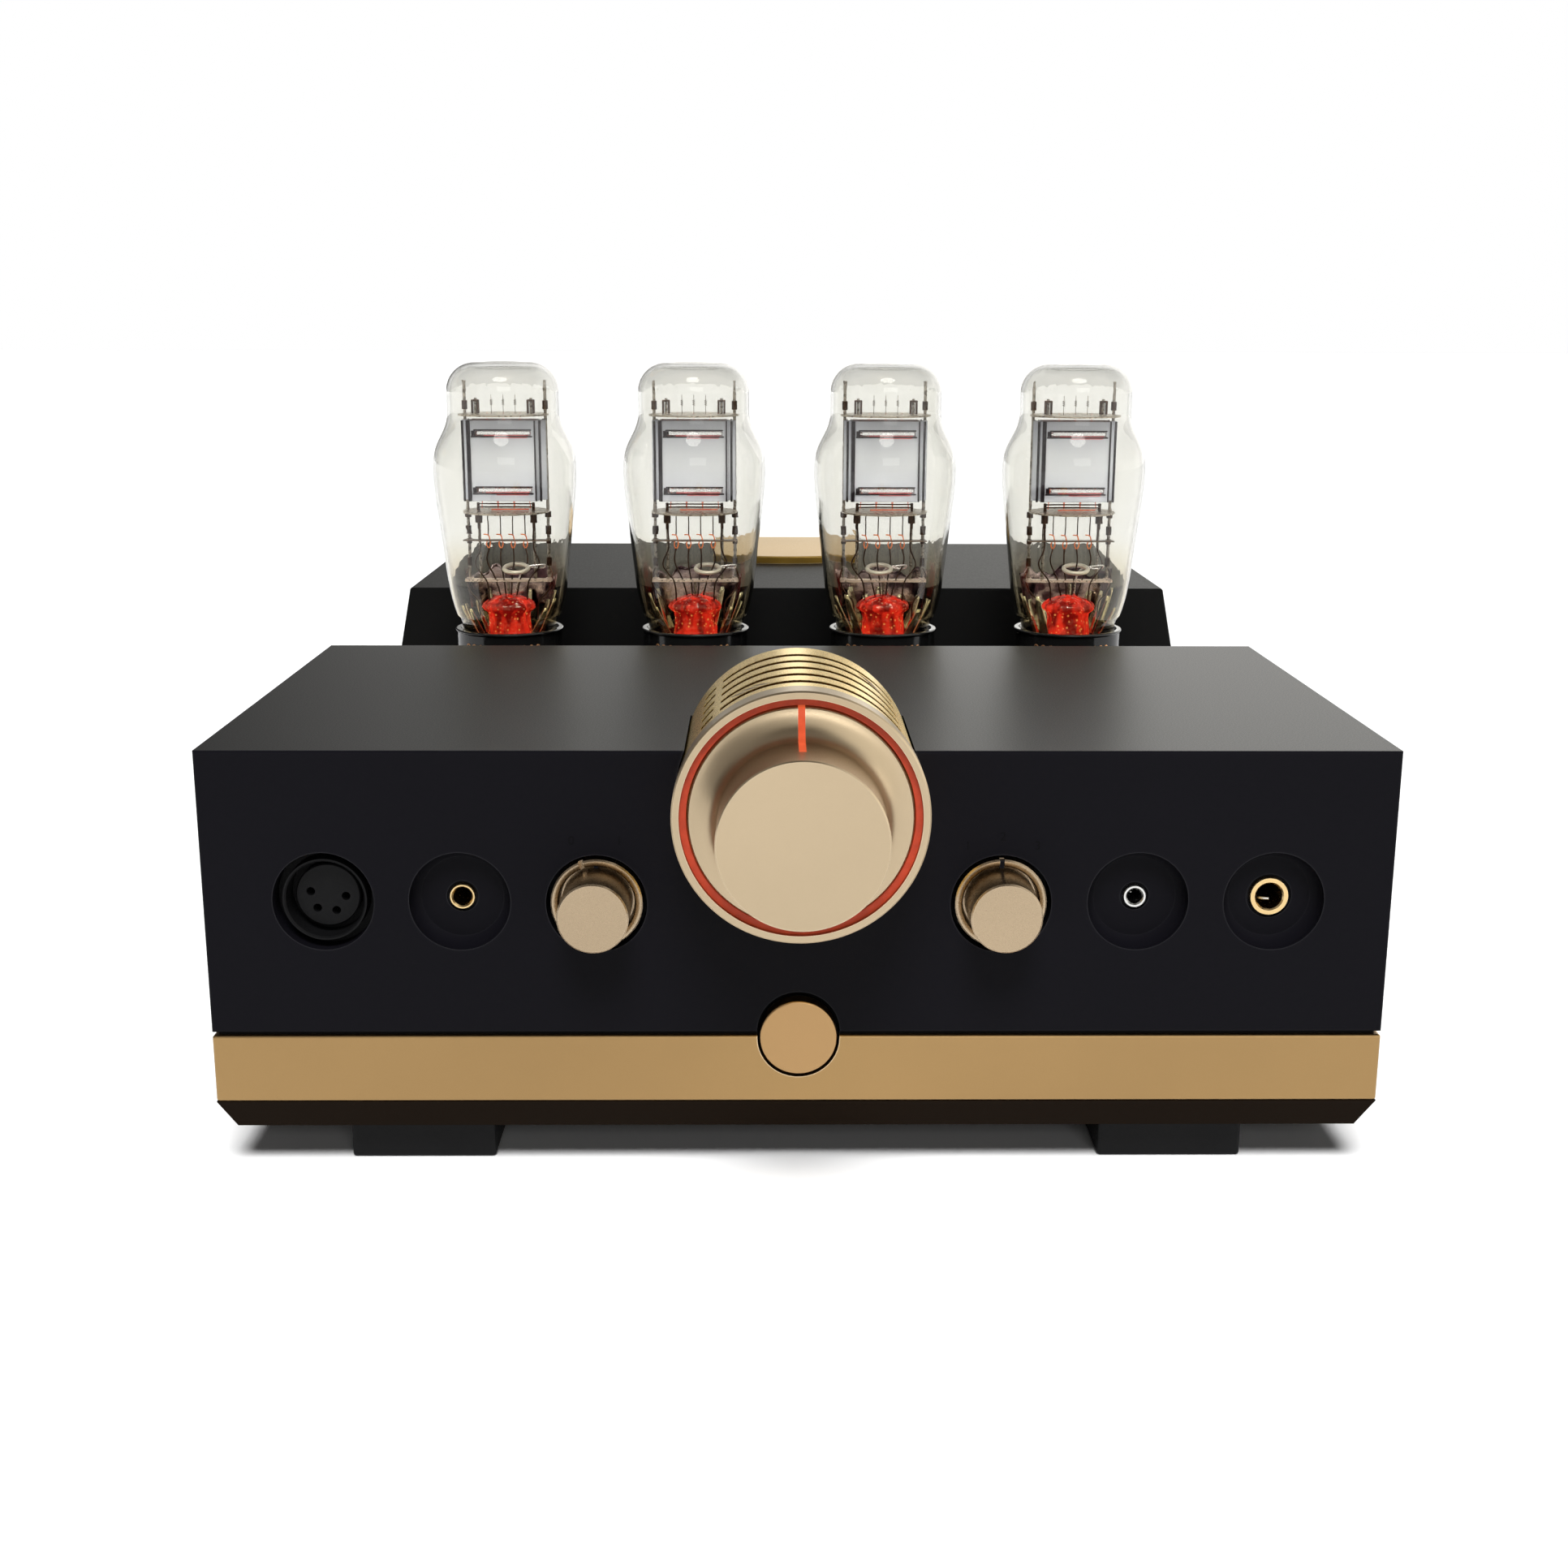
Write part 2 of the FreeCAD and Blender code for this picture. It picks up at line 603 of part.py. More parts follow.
def volume_knob():
    knob = volume_knob_blank()
    cavity = rod_y(KNOB_BARREL_R - KNOB_WALL, KNOB_FRONT + 6, BARREL_FRONT + 1, 0, VOLUME_Z)
    hub = rod_y(KNOB_HUB_R, KNOB_FRONT + 5, KNOB_BACK, 0, VOLUME_Z)
    knob = fuse([knob.cut(cavity), hub])
    knob = knob.cut(rod_y(SHAFT_R + PRESS_FIT, KNOB_FRONT + 7, BARREL_FRONT + 1, 0, VOLUME_Z))
    return knob.cut(pointer_window().cut(pointer_core()))


def volume_pointer():
    return pointer_window().cut(pointer_core()).common(volume_knob_blank())


def volume_shaft():
    return rod_y(SHAFT_R, KNOB_FRONT + 8, BARREL_BACK + 6, 0, VOLUME_Z)


def volume_pot():
    half = POT_SIZE / 2
    wall_front = BARREL_BACK - BARREL_END_WALL
    body = block(-half, half, BARREL_BACK, BARREL_BACK + POT_DEPTH,
                 VOLUME_Z - POT_DROP - half, VOLUME_Z - POT_DROP + half)
    neck = rod_y(POT_NECK_R, BARREL_BACK - 12, BARREL_BACK + 1, 0, VOLUME_Z)
    nut = rod_y(POT_NUT[0], wall_front - POT_NUT[1], wall_front, 0, VOLUME_Z)
    pot = fuse([body, neck, nut])
    return pot.cut(rod_y(SHAFT_R + RUN, BARREL_BACK - 20, BARREL_BACK + 8, 0, VOLUME_Z))


# ---------------------------------------------------------------- selectors and power button

def selector_knob(x, turn):
    """Cylinder standing in a well with a rounded rim; a notch in the rim marks the setting."""
    diagonal = SELECTOR_RIM_ROUND * (1 - math.sqrt(0.5))
    inner = SELECTOR_RIM_R - SELECTOR_RIM_ROUND
    shoulder = (inner + diagonal, SELECTOR_RIM + diagonal)
    well = SELECTOR_RIM + SELECTOR_WELL_DEPTH
    knob = turned_y((0, SELECTOR_BACK),
                    [(SELECTOR_FLANGE_R, SELECTOR_BACK),
                     (SELECTOR_FLANGE_R, SELECTOR_RIM + SELECTOR_EDGE),
                     (SELECTOR_FLANGE_R - SELECTOR_EDGE, SELECTOR_RIM),
                     (SELECTOR_RIM_R, SELECTOR_RIM),
                     (shoulder, (inner, SELECTOR_RIM + SELECTOR_RIM_ROUND)),
                     (SELECTOR_WELL_R, well), (SELECTOR_CAP_R, well),
                     (SELECTOR_CAP_R, SELECTOR_FRONT + SELECTOR_EDGE),
                     (SELECTOR_CAP_R - SELECTOR_EDGE, SELECTOR_FRONT), (0, SELECTOR_FRONT)],
                    x, SELECTOR_Z)
    mark = block(x - NOTCH_WIDTH / 2, x + NOTCH_WIDTH / 2, SELECTOR_FRONT / 2, NOTCH_DEPTH,
                 SELECTOR_Z + SELECTOR_FLANGE_R - NOTCH_LENGTH, SELECTOR_Z + SELECTOR_FLANGE_R + 1)
    knob = knob.cut(mark)
    knob = knob.cut(rod_y(SHAFT_R + PRESS_FIT, SELECTOR_FRONT + 4, SELECTOR_BACK + 1, x, SELECTOR_Z))
    knob.rotate(V(x, 0, SELECTOR_Z), Y_AXIS, turn)
    return knob


def selector_shaft(x):
    return rod_y(SHAFT_R, SELECTOR_FRONT + 5, SWITCH_BACK - 6, x, SELECTOR_Z)


def selector_switches():
    half = SWITCH_SIZE / 2
    shapes = []
    for x in (-SELECTOR_X, SELECTOR_X):
        low = SELECTOR_Z - half
        flange = block(x - half, x + half, SWITCH_FRONT, SWITCH_FRONT + SHEET, low, low + SWITCH_SIZE)
        body = rod_y(SWITCH_BODY_R, SWITCH_FRONT + SHEET, SWITCH_BACK, x, SELECTOR_Z)
        neck = rod_y(SWITCH_NECK_R, SELECTOR_BACK + 1, SWITCH_FRONT + 1, x, SELECTOR_Z)
        switch = fuse([flange, body, neck])
        switch = switch.cut(rod_y(BARREL_R + BARREL_SLACK, 0, SWITCH_BACK + 1, 0, VOLUME_Z))
        shapes.append(switch.cut(rod_y(SHAFT_R + RUN, 0, SWITCH_BACK - 4, x, SELECTOR_Z)))
    return group(shapes)


def power_button():
    cap = rod_y(BUTTON_R, BUTTON_FRONT, BUTTON_BACK, 0, BUTTON_Z)
    cap = soften(cap, BUTTON_EDGE, lambda m, d: near(m.y, BUTTON_FRONT))
    return fuse([cap, rod_y(SHAFT_R, BUTTON_BACK - 1, BUTTON_ROD_END, 0, BUTTON_Z)])


def power_switch():
    flange = block(-17, 17, PANEL_THICK, PANEL_THICK + SHEET, BUTTON_Z - 12, BUTTON_Z + 16)
    body = block(-8, 8, PANEL_THICK + SHEET, 34, BUTTON_Z - 7, BUTTON_Z + 7)
    bore = rod_y(SHAFT_R + RUN, 0, BUTTON_ROD_END + BUTTON_TRAVEL + 1, 0, BUTTON_Z)
    return fuse([flange, body]).cut(bore)


# ---------------------------------------------------------------- front sockets

def jack_sleeve(x, jack):
    outer, bore, length = jack[0], jack[1], jack[2]
    front = DISH_DEPTH - SLEEVE_STAND
    return turned_y((bore, front + JACK_LIP),
                    [(bore + JACK_LIP, front), (outer - 0.2, front), (outer, front + 0.2),
                     (outer, front + length), (bore, front + length)], x, SOCKET_Z)


def jack_bodies():
    shapes = []
    front = DISH_DEPTH - SLEEVE_STAND
    for x, jack in ((JACK_44_X, JACK_44), (JACK_35_X, JACK_35), (JACK_635_X, JACK_635)):
        outer, bore, length, width, body_length = jack
        half = max(width / 2, outer + 1.5)
        body = block(x - half, x + half, PANEL_THICK, PANEL_THICK + body_length,
                     SOCKET_Z - half, SOCKET_Z + half)
        body = body.cut(rod_y(outer + RUN, 0, front + length, x, SOCKET_Z))
        shapes.append(body.cut(rod_y(bore + 0.3, 0, PANEL_THICK + body_length - 2, x, SOCKET_Z)))
    return group(shapes)


def headphone_xlr_socket():
    """Round shell with a raised lip, and inside it the insulating face with its four contact holes."""
    flange_r = HOLE_R + 2.5
    body = turned_y((0, XLR_FACE_Y),
                    [(XLR_FACE_R - 0.3, XLR_FACE_Y), (XLR_FACE_R, XLR_FACE_Y + 0.3),
                     (XLR_FACE_R, XLR_MOAT_Y), (XLR_MOAT_R, XLR_MOAT_Y),
                     (XLR_MOAT_R, XLR_LIP_Y + 0.4), (XLR_MOAT_R + 0.35, XLR_LIP_Y),
                     (XLR_LIP_R, XLR_LIP_Y), (XLR_LIP_R + 0.2, XLR_TRENCH_Y),
                     (HOLE_R - RUN, XLR_TRENCH_Y), (HOLE_R - RUN, PANEL_THICK),
                     (flange_r, PANEL_THICK), (flange_r, PANEL_THICK + SHEET),
                     (XLR_SHELL_R, PANEL_THICK + SHEET), (XLR_SHELL_R, XLR_SHELL_BACK),
                     (0, XLR_SHELL_BACK)], XLR_X, SOCKET_Z)
    for angle in XLR_PIN_ANGLES:
        a = math.radians(angle)
        body = body.cut(rod_y(XLR_HOLE_R, XLR_FACE_Y - 1, XLR_HOLE_END,
                              XLR_X + XLR_PIN_CIRCLE_R * math.cos(a),
                              SOCKET_Z + XLR_PIN_CIRCLE_R * math.sin(a)))
    return body


# ---------------------------------------------------------------- rear panel and connectors

def rear_panel():
    panel = block(-HALF_WIDTH, HALF_WIDTH, DEPTH - SHEET, DEPTH, PANEL_BOTTOM, DECK_TOP)
    for x in REAR_XLR_X:
        panel = panel.cut(rod_y(XLR_BODY_R + CUTOUT_SLACK, DEPTH - 5, DEPTH + 1, x, REAR_Z))
    for x in RCA_X:
        panel = panel.cut(rod_y(RCA_SHANK_R + SCREW_HOLE, DEPTH - 5, DEPTH + 1, x, REAR_Z))
    half_w = IEC_BODY[0] / 2 + CUTOUT_SLACK
    half_h = IEC_BODY[1] / 2 + CUTOUT_SLACK
    panel = panel.cut(block(IEC_X - half_w, IEC_X + half_w, DEPTH - 5, DEPTH + 1,
                            REAR_Z - half_h, REAR_Z + half_h))
    for x, z, _ in rear_screw_places():
        panel = panel.cut(rod_y(SCREW_R + SCREW_HOLE, DEPTH - 5, DEPTH + 1, x, z))
    return panel


def rear_screw_places():
    """Screws in the back face, as (x, z, how far the surface they hold stands off the panel)."""
    for x in (-REAR_SCREW_X, REAR_SCREW_X):
        for z in REAR_SCREW_Z:
            yield x, z, 0.0
    for x in REAR_XLR_X:
        yield x - XLR_SCREW[0], REAR_Z + XLR_SCREW[1], SHEET
        yield x + XLR_SCREW[0], REAR_Z - XLR_SCREW[1], SHEET
    for side in (-1, 1):
        yield IEC_X + side * (IEC_FLANGE[0] / 2 - IEC_SCREW_INSET), REAR_Z, IEC_FLANGE_THICK


def rca_input_jacks():
    shapes = []
    for x in RCA_X:
        jack = fuse([rod_y(RCA_R, DEPTH + 2, REAR_END, x, REAR_Z),
                     rod_y(RCA_NUT_R, DEPTH, DEPTH + 2, x, REAR_Z),
                     rod_y(RCA_SHANK_R, DEPTH - 10, DEPTH, x, REAR_Z)])
        shapes.append(jack.cut(rod_y(RCA_CENTRE_R, REAR_END - 8, REAR_END + 1, x, REAR_Z)))
    return group(shapes)


def xlr_input_sockets():
    shapes = []
    for x in REAR_XLR_X:
        half_w = XLR_FLANGE[0] / 2
        half_h = XLR_FLANGE[1] / 2
        flange = block(x - half_w, x + half_w, DEPTH, DEPTH + SHEET, REAR_Z - half_h, REAR_Z + half_h)
        flange = soften(flange, 3.0, lambda m, d: abs(d.y) > 0.9)
        socket = fuse([flange, rod_y(XLR_BODY_R, DEPTH - 26, DEPTH, x, REAR_Z)])
        socket = socket.cut(rod_y(XLR_MOUTH_R, DEPTH - 5, DEPTH + 5, x, REAR_Z))
        for angle in XLR_CONTACTS:
            a = math.radians(angle)
            socket = socket.cut(rod_y(XLR_CONTACT_R, DEPTH - 18, DEPTH,
                                      x + XLR_CONTACT_CIRCLE_R * math.cos(a),
                                      REAR_Z + XLR_CONTACT_CIRCLE_R * math.sin(a)))
        for sx, sz in ((-XLR_SCREW[0], XLR_SCREW[1]), (XLR_SCREW[0], -XLR_SCREW[1])):
            socket = socket.cut(rod_y(SCREW_R + SCREW_HOLE, DEPTH - 1, DEPTH + 5, x + sx, REAR_Z + sz))
        shapes.append(socket)
    return group(shapes)


def iec_inlet():
    def slab(size, y0, y1):
        return block(IEC_X - size[0] / 2, IEC_X + size[0] / 2, y0, y1,
                     REAR_Z - size[1] / 2, REAR_Z + size[1] / 2)
    flange = soften(slab(IEC_FLANGE, DEPTH, DEPTH + IEC_FLANGE_THICK), 5.0,
                    lambda m, d: abs(d.y) > 0.9)
    inlet = fuse([flange, slab(IEC_BODY, DEPTH - 20, DEPTH)])
    face = DEPTH + IEC_FLANGE_THICK
    inlet = inlet.cut(slab(IEC_CAVITY, face - IEC_CAVITY_DEPTH, face + 1))
    for x, z in iec_pin_places():
        inlet = inlet.cut(iec_blade(x, z, 0.05))
    for side in (-1, 1):
        x = IEC_X + side * (IEC_FLANGE[0] / 2 - IEC_SCREW_INSET)
        inlet = inlet.cut(rod_y(SCREW_R + SCREW_HOLE, DEPTH - 1, face + 1, x, REAR_Z))
    return inlet


def iec_pin_places():
    yield IEC_X, REAR_Z + 2.5
    yield IEC_X - 7, REAR_Z - 1.5
    yield IEC_X + 7, REAR_Z - 1.5


def iec_blade(x, z, slack):
    return block(x - 1 - slack, x + 1 + slack, DEPTH - 27, DEPTH - 1, z - 2 - slack, z + 2 + slack)


def iec_pins():
    return group(iec_blade(x, z, 0.0) for x, z in iec_pin_places())


def case_screws():
    shapes = []
    for x, z, stand in rear_screw_places():
        seat = DEPTH + stand
        top = seat + SCREW_HEAD
        shank = rod_y(SCREW_R, DEPTH - SCREW_REACH, seat + 0.5, x, z)
        head = rod_y(SCREW_HEAD_R, seat, top, x, z)
        head = soften(head, SCREW_HEAD / 2, lambda m, d: near(m.y, top))
        shapes.append(fuse([head, shank]).cut(rod_y(DRIVE_R, top - DRIVE_DEPTH, top + 1, x, z)))
    for x, y in foot_places():
        head = rod_z(FOOT_SCREW_HEAD_R, FOOT_WELL_DEPTH - FOOT_SCREW_HEAD, FOOT_WELL_DEPTH, x, y)
        shapes.append(fuse([head, rod_z(FOOT_SCREW_R, FOOT_WELL_DEPTH - 1, PAN_TOP - 2, x, y)]))
    return group(shapes)


# ---------------------------------------------------------------- electronics inside the case

def main_board():
    board = block(-BOARD_HALF_WIDTH, BOARD_HALF_WIDTH, BOARD_ENDS[0], BOARD_ENDS[1],
                  BOARD_BOTTOM, BOARD_BOTTOM + BOARD_THICK)
    return soften(board, 3.0, lambda m, d: abs(d.z) > 0.9)


def filter_capacitors():
    shapes = []
    for x in CAPACITOR_X:
        can = rod_z(CAPACITOR_R, BOARD_BOTTOM + BOARD_THICK, CAPACITOR_TOP, x, CAPACITOR_Y)
        shapes.append(soften(can, 1.2, lambda m, d: near(m.z, CAPACITOR_TOP)))
    return group(shapes)


def transformer(x, y, size):
    """Laminated core standing on a foot plate, with its winding through the two windows."""
    core_width, core_height, stack, bulge = size
    floor = FOOT_HEIGHT + SHEET
    half = core_width / 2
    foot = block(x - half - 6, x + half + 6, y - stack / 2, y + stack / 2, floor, floor + SHEET)
    core = block(x - half, x + half, y - stack / 2, y + stack / 2, floor, floor + core_height)
    reach = stack / 2 + bulge
    coil = block(x - half * 0.66, x + half * 0.66, y - reach, y + reach,
                 floor + core_height * 0.17, floor + core_height * 0.83)
    coil = soften(coil, 5.0, lambda m, d: abs(d.z) > 0.9)
    return fuse([foot, core, coil])


def power_transformer():
    return transformer(0, TRANSFORMER_Y, POWER_CORE)


def output_transformers():
    return group(transformer(x, TRANSFORMER_Y, OUTPUT_CORE) for x in OUTPUT_X)


def tube_sockets():
    shapes = []
    for x in TUBE_X:
        socket = fuse([rod_z(SOCKET_BODY_R, SOCKET_BOTTOM, BASE_BOTTOM, x, TUBE_Y),
                       rod_z(SOCKET_COLLAR_R, DECK_TOP, DECK_TOP + SOCKET_COLLAR, x, TUBE_Y)])
        socket = soften(socket, 0.6, lambda m, d: near(m.z, DECK_TOP + SOCKET_COLLAR)
                        and V(m.x - x, m.y - TUBE_Y, 0).Length > SOCKET_BODY_R + 1)
        for radius, px, py in pin_places(x):
            socket = socket.cut(rod_z(radius + PIN_SLACK, PIN_BOTTOM - 2, BASE_BOTTOM + 1, px, py))
        shapes.append(socket.cut(rod_z(LED_R + RUN, LED_BOTTOM, BASE_BOTTOM + 1, x, TUBE_Y)))
    return group(shapes)


def socket_leds():
    shapes = []
    for x in TUBE_X:
        lens = Part.makeSphere(LED_R, V(x, TUBE_Y, LED_SHOULDER))
        shapes.append(fuse([rod_z(LED_R, LED_BOTTOM, LED_SHOULDER, x, TUBE_Y), lens]))
    return group(shapes)


# ---------------------------------------------------------------- tubes

def pin_places(x):
    for i, radius in enumerate(PIN_RADII):
        a = math.radians(45 + 90 * i)
        yield radius, x + PIN_CIRCLE_R * math.cos(a), TUBE_Y + PIN_CIRCLE_R * math.sin(a)


def tube_glass(x):
    """Blown bulb: flat-domed top, straight neck, shoulder and long taper into the base."""
    def dome(radius, inset):
        drop = DOME_R - math.sqrt(DOME_R ** 2 - radius ** 2)
        return V(radius, 0, GLASS_TOP - inset - drop)

    def shell_edges(inset):
        top = dome(0, inset)
        corner = dome(DOME_EDGE_R, inset)
        turn = V(15.9 - inset * 0.7, 0, GLASS_TOP - 2.9 - inset * 0.7)
        neck_top = V(NECK_R - inset, 0, NECK_TOP)
        neck = V(NECK_R - inset, 0, NECK_BOTTOM + 2)
        bulb = Part.BSplineCurve()
        points = [neck] + [V(r - inset, 0, z) for r, z in BULB]
        bulb.interpolate(points, InitialTangent=V(0, 0, -1), FinalTangent=V(-0.4, 0, -1))
        entry = points[-1]
        return [Part.Arc(top, dome(DOME_EDGE_R / 2, inset), corner).toShape(),
                Part.Arc(corner, turn, neck_top).toShape(), Part.makeLine(neck_top, neck),
                bulb.toShape(), Part.makeLine(entry, V(entry.x, 0, GLASS_FOOT))]
    outer = shell_edges(0.0)
    inner = shell_edges(GLASS_WALL)
    foot = Part.makeLine(outer[-1].Vertexes[-1].Point, inner[-1].Vertexes[-1].Point)
    tip = Part.makeLine(inner[0].Vertexes[0].Point, outer[0].Vertexes[0].Point)
    wire = Part.Wire(outer + [foot] + inner[::-1] + [tip])
    glass = Part.Face(wire).revolve(V(0, 0, 0), Z_AXIS, 360)
    glass.translate(V(x, TUBE_Y, 0))
    return glass


def tube_base(x):
    bore = BASE_R - BASE_WALL + 0.1
    base = turned_z((LED_R + 0.6, BASE_BOTTOM),
                    [(BASE_R - 0.6, BASE_BOTTOM), (BASE_R, BASE_BOTTOM + 0.6), (BASE_R, BASE_TOP - 1.2),
                     (BASE_R + 0.45, BASE_TOP - 0.8), ((BASE_R + 0.5, BASE_TOP - 0.2),
                                                       (BASE_R, BASE_TOP)),
                     (bore + 0.9, BASE_TOP), (bore, BASE_TOP - 1.2), (bore, BASE_BOTTOM + 3),
                     (LED_R + 0.6, BASE_BOTTOM + 3)], x, TUBE_Y)
    for radius, px, py in pin_places(x):
        base = base.cut(rod_z(radius + 0.05, BASE_BOTTOM - 1, BASE_BOTTOM + 4, px, py))
    return base


def tube_pins(x):
    shapes = []
    for radius, px, py in pin_places(x):
        pin = rod_z(radius, PIN_BOTTOM, BASE_BOTTOM + 3, px, py)
        shapes.append(soften(pin, radius * 0.6, lambda m, d: near(m.z, PIN_BOTTOM)))
    return group(shapes)


def tube_anode(x):
    """Pressed sheet box around the filament, open above and below, with two cooling slots."""
    half_w = ANODE_WIDTH / 2
    half_d = ANODE_DEPTH / 2
    inner_w = half_w - ANODE_SHEET
    inner_d = half_d - ANODE_SHEET
    box = block(x - half_w, x + half_w, TUBE_Y - half_d, TUBE_Y + half_d, ANODE_BOTTOM, ANODE_TOP)
    box = soften(box, 1.0, lambda m, d: abs(d.z) > 0.9)
    box = box.cut(block(x - inner_w, x + inner_w, TUBE_Y - inner_d, TUBE_Y + inner_d,
                        ANODE_BOTTOM - 1, ANODE_TOP + 1))
    for z in (ANODE_BOTTOM + 2.9, ANODE_TOP - 5.3):
        box = box.cut(block(x - half_w + 2, x + half_w - 2, TUBE_Y - 20, TUBE_Y + 20, z, z + 1.7))
    wings = []
    for side in (-1, 1):
        edge = x + side * (half_w + 1.2)
        wings.append(block(edge - 1.4, edge + 1.4, TUBE_Y - 0.4, TUBE_Y + 0.4,
                           ANODE_BOTTOM, ANODE_TOP))
    return fuse([box] + wings)


def tube_mount(x):
    """Glass stem with the support rods, the cross strip and the two mica spacers on it."""
    stem = turned_z((0, GLASS_FOOT + 1),
                    [(STEM_FOOT_R, GLASS_FOOT + 1), (STEM_FOOT_R, GLASS_FOOT + 2.5),
                     ((STEM_R + 2, 103), (STEM_R, 112)), (STEM_R - 1.5, STEM_TOP), (0, STEM_TOP)],
                    x, TUBE_Y)
    strip_top = BRIDGE_Z + BRIDGE_THICK
    bridge = block(x - ROD_X - 1, x + ROD_X + 1, TUBE_Y - 2, TUBE_Y + 2, BRIDGE_Z, strip_top)
    core = rod_z(POST_R, STEM_TOP - 1, BRIDGE_Z + BRIDGE_THICK / 2, x, TUBE_Y)
    upper = rod_z(MICA_R[0], UPPER_MICA_Z, UPPER_MICA_Z + MICA_THICK, x, TUBE_Y)
    lower = rod_z(MICA_R[1], LOWER_MICA_Z, LOWER_MICA_Z + MICA_THICK, x, TUBE_Y)
    rods = []
    for side in (-1, 1):
        rod_x = x + side * ROD_X
        post_x = x + side * POST_X
        rods.append(rod_z(ROD_R, BRIDGE_Z, ROD_TOP, rod_x, TUBE_Y + ROD_Y))
        rods.append(rod_z(POST_R, UPPER_MICA_Z, POST_TOP, post_x, TUBE_Y))
        rods.append(rod_z(POST_R, BRIDGE_Z, LOWER_MICA_Z + MICA_THICK, post_x, TUBE_Y))
        rods.append(block(rod_x - 1.2, rod_x + 1.2, TUBE_Y, TUBE_Y + ROD_Y + 1, BRIDGE_Z, strip_top))
    return fuse([stem, bridge, core, upper, lower] + rods)


def save_tube(number, x):
    name = "tube_%d_" % number
    save(name + "glass", tube_glass(x))
    save(name + "base", tube_base(x))
    save(name + "pins", tube_pins(x))
    save(name + "anode", tube_anode(x))
    save(name + "mount", tube_mount(x))


# ---------------------------------------------------------------- build

for part in (feet, bottom_pan, gold_belt, front_panel, front_box_cover, main_chassis, tube_deck,
             transformer_cover, cover_badge, rear_panel, iec_inlet, iec_pins, rca_input_jacks,
             xlr_input_sockets, case_screws, tube_sockets, socket_leds, main_board, filter_capacitors,
             power_transformer, output_transformers, volume_barrel, volume_bezel, volume_light_ring,
             volume_pot, volume_knob, volume_pointer, volume_shaft, selector_switches, power_switch,
             power_button, headphone_xlr_socket, jack_bodies):
    save(part.__name__, part())

save("balanced_4_4_jack", jack_sleeve(JACK_44_X, JACK_44))
save("headphone_3_5_jack", jack_sleeve(JACK_35_X, JACK_35))
save("headphone_6_35_jack", jack_sleeve(JACK_635_X, JACK_635))
save("left_selector_knob", selector_knob(-SELECTOR_X, LEFT_TURN))
save("left_selector_shaft", selector_shaft(-SELECTOR_X))
save("right_selector_knob", selector_knob(SELECTOR_X, 0.0))
save("right_selector_shaft", selector_shaft(SELECTOR_X))

for number, tube_x in enumerate(TUBE_X, start=1):
    save_tube(number, tube_x)
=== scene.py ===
import json
import math
import random

import bmesh
import bpy
from mathutils import Matrix, Vector


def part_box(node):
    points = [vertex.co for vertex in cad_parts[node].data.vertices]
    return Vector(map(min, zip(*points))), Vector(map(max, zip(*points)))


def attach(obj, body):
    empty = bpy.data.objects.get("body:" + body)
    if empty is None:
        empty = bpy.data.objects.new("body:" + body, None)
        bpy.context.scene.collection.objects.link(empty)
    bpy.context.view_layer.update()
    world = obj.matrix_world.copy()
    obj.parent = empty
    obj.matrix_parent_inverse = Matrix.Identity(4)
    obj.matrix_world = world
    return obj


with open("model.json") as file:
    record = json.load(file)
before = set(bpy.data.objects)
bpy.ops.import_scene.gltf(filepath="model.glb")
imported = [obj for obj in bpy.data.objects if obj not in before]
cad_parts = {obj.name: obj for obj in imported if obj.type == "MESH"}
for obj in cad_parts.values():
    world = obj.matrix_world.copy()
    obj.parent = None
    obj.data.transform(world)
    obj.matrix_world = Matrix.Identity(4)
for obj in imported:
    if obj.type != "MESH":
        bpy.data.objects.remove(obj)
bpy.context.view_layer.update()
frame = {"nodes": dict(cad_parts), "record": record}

# Looks of the tube headphone amplifier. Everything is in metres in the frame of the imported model:
# -Y is the front panel side, +X is to the right seen from the front, Z = 0 is the standing surface.

MM = 0.001
TUBES = (1, 2, 3, 4)


# ---------------------------------------------------------------- places taken from the frame

def middle(node):
    low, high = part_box(node)
    return (Vector(low) + Vector(high)) / 2


def low(node):
    return Vector(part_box(node)[0])


def high(node):
    return Vector(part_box(node)[1])


PANEL_Y = low("gold_belt").y

# Heights inside the tubes over the standing surface, the same in all four.
MICA_HEIGHTS = (0.18445, 0.15145)
SPACER_HEIGHT = 0.1414
GETTER_HEIGHT = 0.1320
STRIP_HEIGHT = 0.1274
FLASH_CREST = 0.1290
FLASH_FOOT = 0.1165


# ---------------------------------------------------------------- material nodes

def new_material(name):
    material = bpy.data.materials.new(name)
    material.use_nodes = True
    tree = material.node_tree
    return material, tree, tree.nodes["Principled BSDF"]


def node(tree, kind, **settings):
    made = tree.nodes.new(kind)
    for key, value in settings.items():
        setattr(made, key, value)
    return made


def object_coords(tree, stretch=(1, 1, 1)):
    coords = node(tree, "ShaderNodeTexCoord")
    mapping = node(tree, "ShaderNodeMapping")
    mapping.inputs["Scale"].default_value = stretch
    tree.links.new(coords.outputs["Object"], mapping.inputs["Vector"])
    return mapping.outputs["Vector"]


def noise(tree, scale, detail=3.0, stretch=(1, 1, 1)):
    texture = node(tree, "ShaderNodeTexNoise")
    texture.inputs["Scale"].default_value = scale
    texture.inputs["Detail"].default_value = detail
    tree.links.new(object_coords(tree, stretch), texture.inputs["Vector"])
    return texture.outputs["Fac"]


def ranged(tree, value, start, end, from_low=0.3, from_high=0.7):
    ramp = node(tree, "ShaderNodeMapRange")
    ramp.inputs["From Min"].default_value = from_low
    ramp.inputs["From Max"].default_value = from_high
    ramp.inputs["To Min"].default_value = start
    ramp.inputs["To Max"].default_value = end
    tree.links.new(value, ramp.inputs["Value"])
    return ramp.outputs["Result"]


